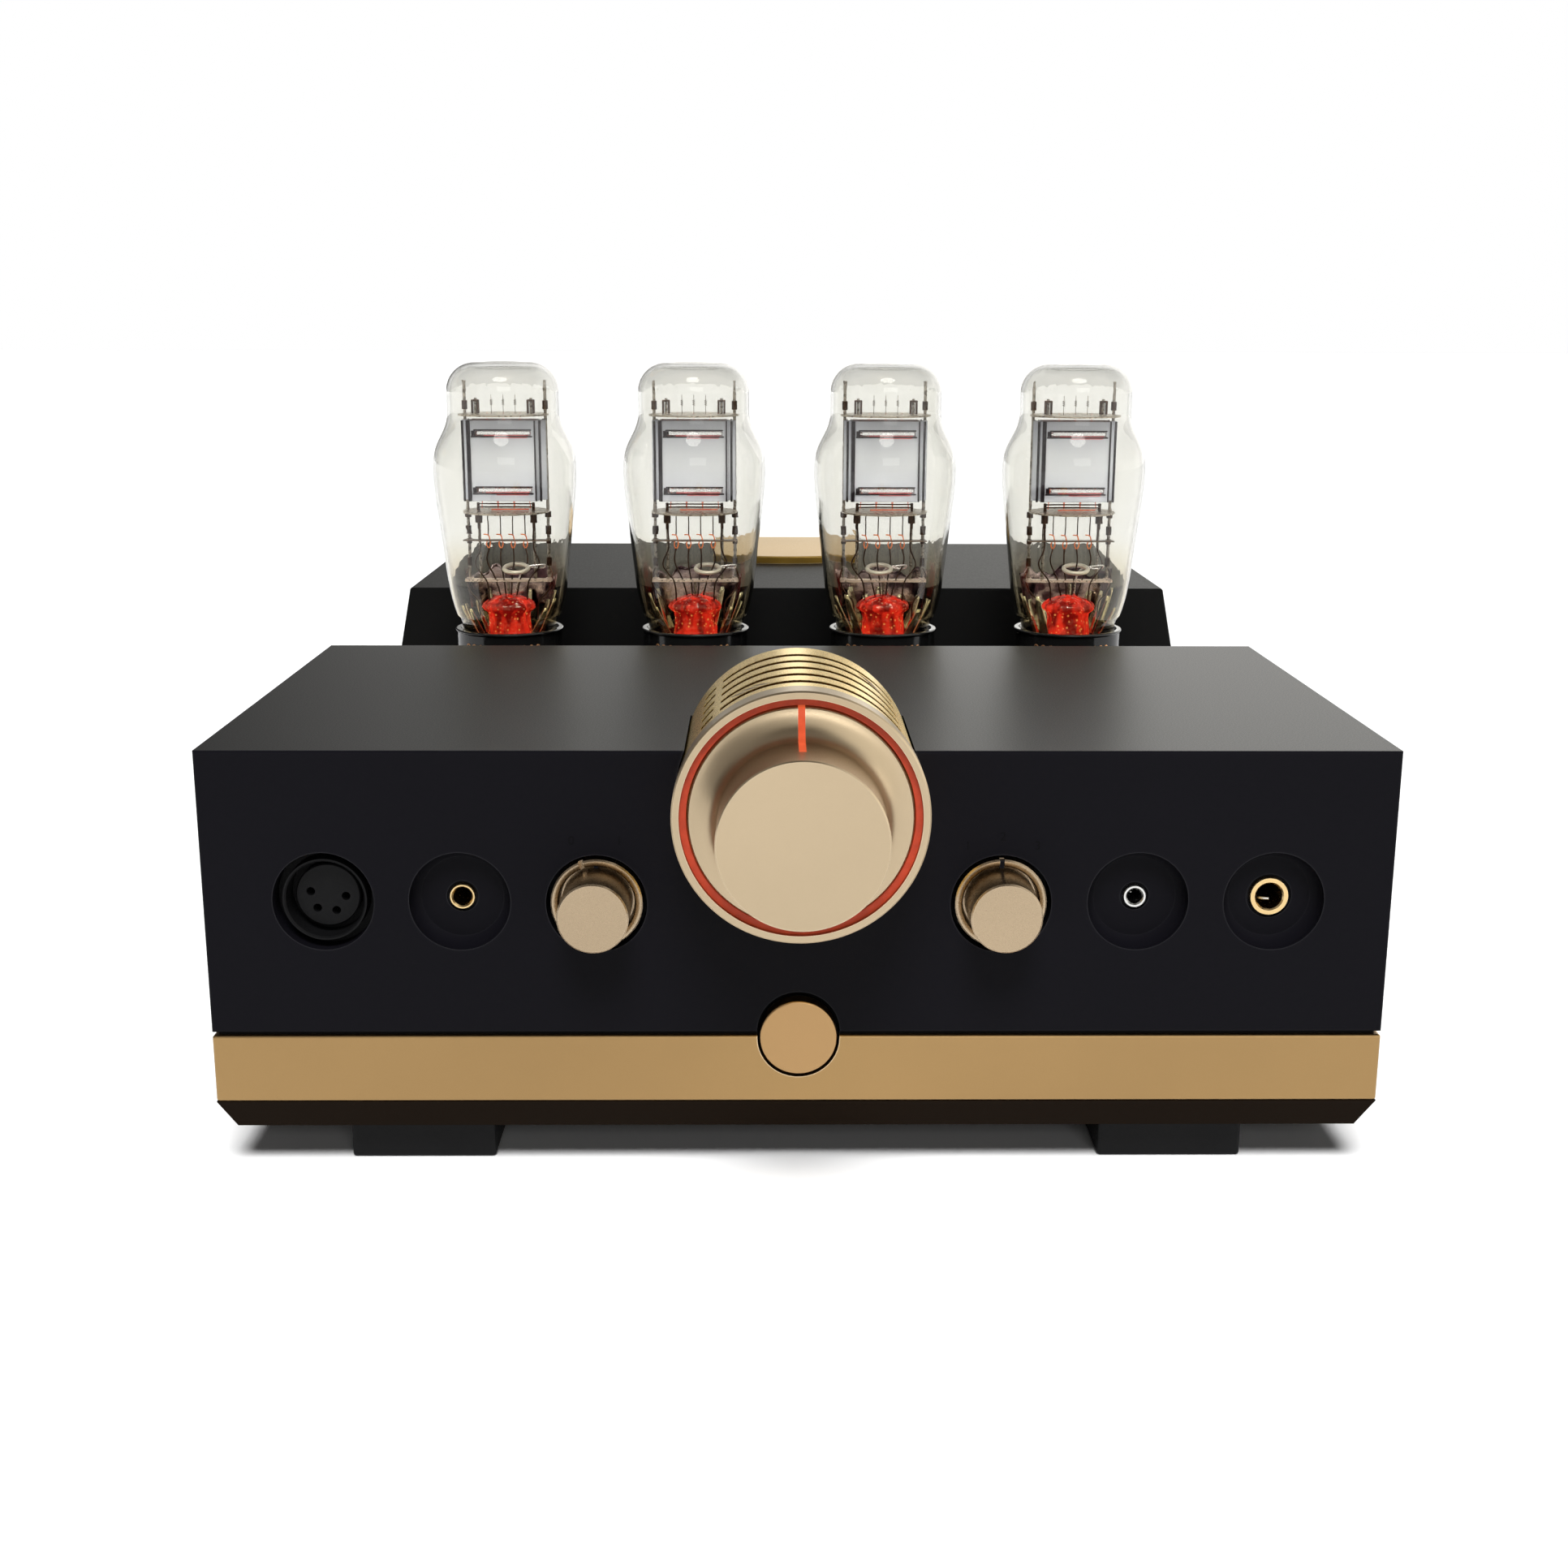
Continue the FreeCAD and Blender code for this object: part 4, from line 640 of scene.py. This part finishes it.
def add_slots(tube):
    """Folded edges in near-black painted shade, bright grid support and dull red glow at the two
    slots of the anode.
    """
    dark = bmesh.new()
    bright = bmesh.new()
    warm = bmesh.new()
    for z in (tube.anode_low + 3.7 * MM, tube.anode_high - 4.4 * MM):
        for front in (-1, 1):
            y = front * FACE_MM
            add_strip(dark, tube.at(0.3, y, z + 1.15 * MM), (19.6, 0.5, 0.42), 0.1)
            add_strip(dark, tube.at(0.0, y, z - 1.15 * MM), (20.8, 0.5, 0.48), 0.1)
            add_strip(dark, tube.at(-9.6, y, z), (1.3, 0.5, 1.9), 0.1)
            add_strip(bright, tube.at(0.6, y * 0.97, z + 0.1 * MM), (18.0, 0.4, 1.2), 0.1)
            add_strip(warm, tube.at(3.2, y, z - 1.52 * MM), (11.0, 0.35, 0.26), 0.1)
            add_strip(warm, tube.at(1.5, y * 0.98, z - 0.78 * MM), (15.0, 0.45, 0.22), 0.1)
    finish_piece(tube.name + "slot_edges", mesh_from(dark, "edges", False), CHANNEL_DARK, tube.body)
    finish_piece(tube.name + "grid_support", mesh_from(bright, "support", False), BRIGHT_STRIP,
                 tube.body)
    finish_piece(tube.name + "slot_glow", mesh_from(warm, "glow", False), WARM_WIRE, tube.body)


def add_filament(tube):
    """Ribbon strands in the anode, with their lower bends and the hot bar below it."""
    bm = bmesh.new()
    top = tube.anode_high + 2.5 * MM
    foot = tube.anode_low - 3.0 * MM
    strands = (-8.4, -2.8, 2.8, 8.4)
    for first, second in zip(strands, strands[1:]):
        peak = (first + second) / 2
        add_wire(bm, [tube.at(first, 0, foot), tube.at(peak, 0, top), tube.at(second, 0, foot)],
                 0.16 * MM, 6)
    add_wire(bm, [tube.at(-5.0, -1.2, foot - 0.3 * MM), tube.at(8.0, -1.2, foot - 0.2 * MM)],
             0.2 * MM, 6)
    finish_piece(tube.name + "filament", mesh_from(bm, "filament"), HOT_WIRE, tube.body)
    bm = bmesh.new()
    for height in (1.3, 2.3):
        add_strip(bm, tube.at(0.2, -1.5, tube.anode_low - height * MM), (19.5, 0.8, 0.4), 0.1)
    finish_piece(tube.name + "filament_bar", mesh_from(bm, "bar", False), CRIMP_DARK, tube.body)


def add_hooks(tube):
    """Three sprung hooks that hold the filament above the upper mica."""
    base = MICA_HEIGHTS[0] + 0.3 * MM
    paths = []
    for x in (-4.1, 0.0, 4.1):
        paths.append([tube.at(x, 0, base), tube.at(x, 0, base + 6.4 * MM)])
        coil = []
        for i in range(25):
            a = 2 * math.pi * i / 8
            coil.append(tube.at(x + 0.42 * math.cos(a), 0.42 * math.sin(a),
                                base + (2.8 + 0.08 * i) * MM))
        paths.append(coil)
    wires(tube.name + "hooks", paths, 0.09 * MM, WIRE_GREY, tube.body)


def add_crimps(tube):
    """Folded straps over the posts above the upper mica, and crimps along posts and rods."""
    bm = bmesh.new()
    top = MICA_HEIGHTS[0]
    for side in (-1, 1):
        for x in (POST_MM - 1.0, POST_MM + 1.0):
            add_strip(bm, tube.at(side * x, -0.6, top + 2.7 * MM), (0.7, 1.6, 4.6))
        add_strip(bm, tube.at(side * POST_MM, -0.4, top + 4.7 * MM), (2.6, 1.4, 0.7))
        add_strip(bm, tube.at(side * POST_MM, POST_Y_MM, tube.anode_low - 5.4 * MM),
                  (1.0, 0.8, 9.0))
        crimps = [(ROD_MM, ROD_Y_MM, *crimp) for crimp in ROD_CRIMPS]
        crimps.append((POST_MM, POST_Y_MM, *POST_CRIMP))
        for x, y, low_z, high_z, radius in crimps:
            place = tube.at(side * x, y, low_z)
            add_wire(bm, [place, place + Vector((0, 0, high_z - low_z))], radius * MM, 12)
    mesh = mesh_from(bm, "crimps", smooth=False)
    finish_piece(tube.name + "crimps", mesh, CRIMP_DARK, tube.body)


def add_leads(tube):
    """Filament leads below the lower mica, with orange hooks, led down to the stem."""
    straight = []
    hooks = []
    lower = []
    mica = MICA_HEIGHTS[1]
    hook = mica - 8.2 * MM
    for x in LEADS_MM:
        straight.append([tube.at(x, -1.0, mica), tube.at(x, -1.0, hook)])
        hooks.append(smooth_path([tube.at(x - 1.5, -1.2, hook + 0.3 * MM), tube.at(x, -1.2, hook),
                                  tube.at(x + 0.5, -1.0, hook - 1.6 * MM),
                                  tube.at(x + 0.7, -1.0, hook - 3.2 * MM),
                                  tube.at(x, -1.0, hook - 4.6 * MM),
                                  tube.at(x - 0.7, -1.0, hook - 3.2 * MM),
                                  tube.at(x - 0.3, -1.0, hook - 1.8 * MM)]))
        lower.append(smooth_path([tube.at(x, -1.0, hook - 4.5 * MM),
                                  tube.at(x * 1.1, -1.6, hook - 9.0 * MM),
                                  tube.at(x * 0.7, -1.2, hook - 15.0 * MM),
                                  tube.at(x * 0.45, -0.6, hook - 21.0 * MM)]))
    for side in (-1, 1):
        lower.append(smooth_path([tube.at(side * POST_MM, POST_Y_MM, POST_CRIMP[0]),
                                  tube.at(side * (POST_MM - 0.3), -1.2, 0.139),
                                  tube.at(side * (POST_MM + 1.6), -1.6, 0.133),
                                  tube.at(side * 7.2, -2.0, 0.127),
                                  tube.at(side * 6.6, -1.5, 0.120)]))
        lower.append(smooth_path([tube.at(side * ROD_MM, ROD_Y_MM, 0.132),
                                  tube.at(side * 15.2, 2.0, 0.128),
                                  tube.at(side * 13.6, 0.0, 0.1235),
                                  tube.at(side * 10.6, -1.0, 0.120),
                                  tube.at(side * 10.2, -1.0, 0.114)]))
    wires(tube.name + "leads", straight, 0.2 * MM, WIRE_GREY, tube.body)
    wires(tube.name + "orange_hooks", hooks, 0.2 * MM, ORANGE_HOOK, tube.body)
    wires(tube.name + "stem_leads", lower, 0.27 * MM, CRIMP_DARK, tube.body)


def add_lower_spacer(tube):
    """Thin dark strip that ties the leads together."""
    bm = bmesh.new()
    add_strip(bm, tube.at(0, -0.5, SPACER_HEIGHT), (30.0, 4.0, 0.4), 0.15)
    finish_piece(tube.name + "lower_spacer", mesh_from(bm, "spacer", False), MICA, tube.body)


RING_PLACES_MM = (3.3, 4.5, -1.8, 1.5)


def add_getter(tube):
    """Getter ring lying on its holder, tipped a little towards the front."""
    bm = bmesh.new()
    centre = tube.at(RING_PLACES_MM[tube.number - 1], -4.0, GETTER_HEIGHT)
    tip = Matrix.Rotation(math.radians(-76), 3, "X")
    flat_ring = ring_around(Vector(), Vector((0, 1, 0)), 4.1 * MM, 40)
    ring = [centre + tip @ point for point in flat_ring]
    add_wire(bm, ring, 0.75 * MM, 10, closed=True)
    finish_piece(tube.name + "getter", mesh_from(bm, "getter"), GETTER_WHITE, tube.body)
    loop = smooth_path([centre + Vector((0.0042, 0.0, 0.0008)),
                        centre + Vector((0.0095, 0.001, 0.0012)),
                        centre + Vector((0.0088, 0.003, -0.0002)),
                        centre + Vector((0.002, 0.004, -0.001)),
                        tube.at(2.0, 1.0, 0.122)])
    wires(tube.name + "getter_holder", [loop], 0.3 * MM, BRIGHT_STRIP, tube.body)


def add_flash(tube):
    """Getter film on the back half of the glass, with a ragged upper edge."""
    bm = bmesh.new()
    columns = 48
    rows = 10
    grid = []
    start, end = (math.radians(angle) for angle in FLASH_ANGLES)
    for i in range(columns + 1):
        a = start + (end - start) * i / columns
        crest = FLASH_CREST + 0.0014 * math.sin(a * 7 + tube.number) + 0.0008 * math.sin(a * 17)
        column = []
        for k in range(rows + 1):
            z = FLASH_FOOT + (crest - FLASH_FOOT) * k / rows
            radius = FLASH_FOOT_R + (z - FLASH_FOOT) * FLASH_FLARE
            column.append(bm.verts.new((tube.axis.x + radius * math.cos(a),
                                        tube.axis.y + radius * math.sin(a), z)))
        grid.append(column)
    for left, right in zip(grid, grid[1:]):
        for k in range(rows):
            bm.faces.new((left[k], right[k], right[k + 1], left[k + 1]))
    mesh = mesh_from(bm, "flash")
    film = finish_piece(tube.name + "getter_film", mesh, FLASH, tube.body)
    skin = film.modifiers.new("thickness", "SOLIDIFY")
    skin.thickness = 0.1 * MM


def ripple(bm, tube, waves, amount):
    """Flute a turned mesh around the tube's axis."""
    for vert in bm.verts:
        offset = vert.co - Vector((tube.axis.x, tube.axis.y, vert.co.z))
        angle = math.atan2(offset.y, offset.x)
        swell = 1 + amount * math.sin(waves * angle + vert.co.z * 500 + tube.number)
        vert.co.x = tube.axis.x + offset.x * swell
        vert.co.y = tube.axis.y + offset.y * swell


def add_stem(tube):
    """Scalloped glass stem, with a painted red glow in place of the light from the lamp in the
    socket.
    """
    bm = bmesh.new()
    add_turned(bm, [(radius * MM, z * MM) for radius, z in STEM_OUTLINE], tube.axis, 72)
    ripple(bm, tube, 9, 0.05)
    finish_piece(tube.name + "stem_glow", mesh_from(bm, "stem"), STEM_GLOW, tube.body)


def add_pillars(tube):
    """Glossy strips round the stem, where the bulb narrows into the base: painted reflections of
    the stem and base in the glass.
    """
    bm = bmesh.new()
    chance = random.Random(40 + tube.number)
    for i in range(SHEEN_STRIP_COUNT):
        place = (i + chance.uniform(-0.25, 0.25)) / (SHEEN_STRIP_COUNT - 1)
        turn = math.radians(SHEEN_STRIP_START + SHEEN_STRIP_TURN * place)
        width = chance.uniform(0.12, 0.26)
        top = chance.uniform(118.0, 124.5)
        lean = chance.uniform(-0.12, 0.12)
        rows = []
        for k in range(9):
            share = k / 8
            z = SHEEN_STRIP_FOOT_MM + (top - SHEEN_STRIP_FOOT_MM) * share
            radius = 11.0 + 5.4 * math.sin(share * math.pi / 2) - 1.0 * math.sin(share * math.pi)
            half = width * (1 - 0.75 * share)
            row = []
            for step in (-1, 0, 1):
                a = turn + lean * share + half * step
                r = (radius + (0.45 if step == 0 else 0.0)) * MM
                row.append(bm.verts.new((tube.axis.x + r * math.cos(a),
                                         tube.axis.y + r * math.sin(a), z * MM)))
            rows.append(row)
        for lower, upper in zip(rows, rows[1:]):
            for k in range(2):
                bm.faces.new((lower[k], lower[k + 1], upper[k + 1], upper[k]))
    sheen_strips = finish_piece(tube.name + "stem_sheen_strips", mesh_from(bm, "sheen_strips"), STEM_SHEEN, tube.body)
    skin = sheen_strips.modifiers.new("thickness", "SOLIDIFY")
    skin.thickness = 0.35 * MM


def add_base_mark(tube):
    """Plain gold wave printed round the front of the base."""
    bm = bmesh.new()
    for row, (start, end) in enumerate(BASE_MARK_ARCS):
        path = []
        for i in range(31):
            a = math.radians(start + (end - start) * i / 30)
            z = tube.base_top - (4.6 - 0.5 * math.sin(i * 0.9 + row)) * MM
            path.append(Vector((tube.axis.x + BASE_MARK_R * math.sin(a),
                                tube.axis.y - BASE_MARK_R * math.cos(a), z)))
        add_wire(bm, path, 0.22 * MM, 6)
    finish_piece(tube.name + "base_mark", mesh_from(bm, "mark"), MARK_GOLD, tube.body)


def fit_out_tubes():
    for number in TUBES:
        tube = Tube(number)
        for add in (add_side_channels, add_slots, add_filament, add_hooks, add_crimps, add_leads,
                    add_lower_spacer, add_getter, add_flash, add_stem, add_pillars, add_base_mark):
            add(tube)


# ---------------------------------------------------------------- front panel marks

ETCHED = coated("etched_mark", (0.0025, 0.0025, 0.003), 0.7, 0.0, specular=0.05)
MARK_SIZE = 3.2 * MM
MARK_CIRCLE_R = 17.5 * MM
# Digits and their angles from the top, in degrees, round each selector.
SELECTOR_MARKS = (("left_selector_shaft", (("0", -20), ("1", 20))),
                  ("right_selector_shaft", (("1", -30), ("2", 0), ("3", 30))))
# Height from the bore's axis, end of the leaf and wire radius of each jack contact, in millimetres.
JACK_CONTACTS = (("headphone_3_5_jack", 0.3, -0.3, 0.25), ("headphone_6_35_jack", -1.4, 0.7, 0.45))
BORE_SHARE = 0.58
INLAY_SIZE_MM = (1.16, 0.9, 2.0)


def etched_digit(text, x, z):
    curve = bpy.data.curves.new("digit_" + text, "FONT")
    curve.body = text
    curve.size = MARK_SIZE
    curve.extrude = 0.01 * MM
    curve.align_x = "CENTER"
    curve.align_y = "CENTER"
    holder = bpy.data.objects.new("digit", curve)
    bpy.context.collection.objects.link(holder)
    bpy.context.view_layer.update()
    graph = bpy.context.evaluated_depsgraph_get()
    mesh = bpy.data.meshes.new_from_object(holder.evaluated_get(graph))
    bpy.data.objects.remove(holder)
    mesh.transform(Matrix.Translation((x, PANEL_Y, z)) @ Matrix.Rotation(math.radians(90), 4, "X"))
    mesh.materials.clear()
    side = "left" if x < 0 else "right"
    finish_piece("mark_%s_%s" % (side, text), mesh, ETCHED, "chassis")


def mark_panel():
    for name, marks in SELECTOR_MARKS:
        centre = middle(name)
        for text, angle in marks:
            a = math.radians(angle)
            etched_digit(text, centre.x + MARK_CIRCLE_R * math.sin(a),
                         centre.z + MARK_CIRCLE_R * math.cos(a))


def add_jack_contacts():
    """Sprung contact leaf inside each unbalanced jack."""
    for name, rise, tip, radius in JACK_CONTACTS:
        centre = middle(name)
        front = low(name).y
        bore = (high(name).x - centre.x) * BORE_SHARE
        z = centre.z + rise * MM
        bm = bmesh.new()
        path = smooth_path([Vector((centre.x - bore * 0.85, front + 8 * MM, z)),
                            Vector((centre.x - bore * 0.6, front + 4 * MM, z)),
                            Vector((centre.x + tip * MM, front + 3 * MM, z))])
        add_wire(bm, path, radius * MM, 8)
        finish_piece(name + "_contact", mesh_from(bm, "contact"), MATERIALS["jack_silver"],
                     "chassis")


def add_notch_inlays():
    """Black piece set in the index notch of each selector rim, darkening the notch."""
    for name in ("left_selector", "right_selector"):
        rim_top = high(name + "_knob").z
        bm = bmesh.new()
        place = Vector((middle(name + "_knob").x, PANEL_Y + 0.7 * MM, rim_top - 1.4 * MM))
        add_strip(bm, place, INLAY_SIZE_MM)
        finish_piece(name + "_inlay", mesh_from(bm, "inlay", False), MATERIALS["panel_black"],
                     name)


# ---------------------------------------------------------------- floor, light and camera

FLOOR_HALF = 12.0


def make_floor():
    material, tree, shader = new_material("floor_white")
    patch = noise(tree, 3.0, 2.0)
    tree.links.new(mixed(tree, patch, (0.90, 0.90, 0.90), (0.93, 0.93, 0.93)),
                   shader.inputs["Base Color"])
    shader.inputs["Roughness"].default_value = 0.9
    shader.inputs["Specular IOR Level"].default_value = 0.1
    bm = bmesh.new()
    bmesh.ops.create_grid(bm, x_segments=1, y_segments=1, size=FLOOR_HALF)
    mesh = bpy.data.meshes.new("floor")
    bm.to_mesh(mesh)
    bm.free()
    mesh.materials.append(material)
    floor = bpy.data.objects.new("floor", mesh)
    bpy.context.collection.objects.link(floor)


def softbox(name, place, target, size, power):
    data = bpy.data.lights.new(name, "AREA")
    data.shape = "RECTANGLE"
    data.size = size[0]
    data.size_y = size[1]
    data.energy = power
    lamp = bpy.data.objects.new(name, data)
    lamp.location = place
    lamp.rotation_euler = (Vector(target) - Vector(place)).to_track_quat("-Z", "Y").to_euler()
    lamp.visible_camera = False
    lamp.visible_transmission = False
    bpy.context.collection.objects.link(lamp)


def make_world():
    """White behind the object, little stray light and a soft studio in the reflections."""
    world = bpy.data.worlds.new("studio")
    world.use_nodes = True
    bpy.context.scene.world = world
    tree = world.node_tree
    background = tree.nodes["Background"]
    coords = node(tree, "ShaderNodeTexCoord")
    split = node(tree, "ShaderNodeSeparateXYZ")
    tree.links.new(coords.outputs["Generated"], split.inputs["Vector"])
    across = ranged(tree, split.outputs["X"], 0.0, 1.0, -0.30, 0.12)
    backdrop = mixed(tree, across, (0.08, 0.08, 0.08), (2.0, 1.97, 1.88))
    backdrop = mixed(tree, ranged(tree, split.outputs["Z"], 0.0, 1.0, 0.35, 0.7), backdrop,
                     (0.30, 0.30, 0.30))
    sideways = ranged(tree, split.outputs["X"], 0.0, 1.0, -0.5, 0.5)
    front = mixed(tree, sideways, (0.35, 0.34, 0.33), (1.30, 1.28, 1.22))
    front = mixed(tree, ranged(tree, split.outputs["Z"], 0.0, 1.0, 0.80, 0.95), front,
                  (0.08, 0.07, 0.06))
    studio = mixed(tree, ranged(tree, split.outputs["Y"], 0.0, 1.0, -0.25, 0.15), front, backdrop)
    behind = ranged(tree, split.outputs["Y"], 0.0, 1.0, -0.1, 0.35)
    seen_through = mixed(tree, behind, (1.4, 1.4, 1.4), (1.0, 1.0, 1.0))
    rays = node(tree, "ShaderNodeLightPath")
    shown = mixed(tree, rays.outputs["Is Glossy Ray"], (0.018, 0.018, 0.018), studio)
    shown = mixed(tree, rays.outputs["Is Transmission Ray"], shown, seen_through)
    final = mixed(tree, rays.outputs["Is Camera Ray"], shown, (1.0, 1.0, 1.0))
    tree.links.new(final, background.inputs["Color"])
    background.inputs["Strength"].default_value = 1.0


SUN_ENERGY = 5.1
SUN_SPREAD = math.radians(25)
SUN_TILT = math.radians(32)


def light_scene():
    """Broad soft light from above and in front, and a softbox far out in front."""
    make_world()
    data = bpy.data.lights.new("overhead", "SUN")
    data.energy = SUN_ENERGY
    data.angle = SUN_SPREAD
    lamp = bpy.data.objects.new("overhead", data)
    lamp.rotation_euler = (SUN_TILT, 0, 0)
    lamp.visible_glossy = False
    bpy.context.collection.objects.link(lamp)
    softbox("front_key", (0.3, -2.4, 0.9), (0, -0.2, 0.12), (1.2, 0.7), 7.0)


FOCAL_MM = 43.93
SENSOR_MM = 36.0
CAMERA_FROM_PANEL = Vector((-0.00886, -0.46156, 0.21685))
YAW = math.radians(0.618)
PITCH_DOWN = math.radians(13.689)
ROLL = math.radians(0.167)


def make_camera():
    level = Vector((math.sin(YAW), math.cos(YAW), 0))
    across = Vector((math.cos(YAW), -math.sin(YAW), 0))
    up = Vector((0, 0, 1))
    ahead = level * math.cos(PITCH_DOWN) - up * math.sin(PITCH_DOWN)
    top = up * math.cos(PITCH_DOWN) + level * math.sin(PITCH_DOWN)
    right = across * math.cos(ROLL) + top * math.sin(ROLL)
    over = top * math.cos(ROLL) - across * math.sin(ROLL)
    data = bpy.data.cameras.new("camera")
    data.lens = FOCAL_MM
    data.sensor_width = SENSOR_MM
    data.clip_start = 0.01
    camera = bpy.data.objects.new("camera", data)
    place = Matrix((right, over, -ahead)).transposed().to_4x4()
    place.translation = CAMERA_FROM_PANEL + Vector((0, PANEL_Y, 0))
    camera.matrix_world = place
    bpy.context.collection.objects.link(camera)
    bpy.context.scene.camera = camera


# ---------------------------------------------------------------- build

make_camera()
dress_frame()
fit_out_tubes()
mark_panel()
add_jack_contacts()
add_notch_inlays()
make_floor()
light_scene()
bpy.context.scene.view_settings.view_transform = "Standard"
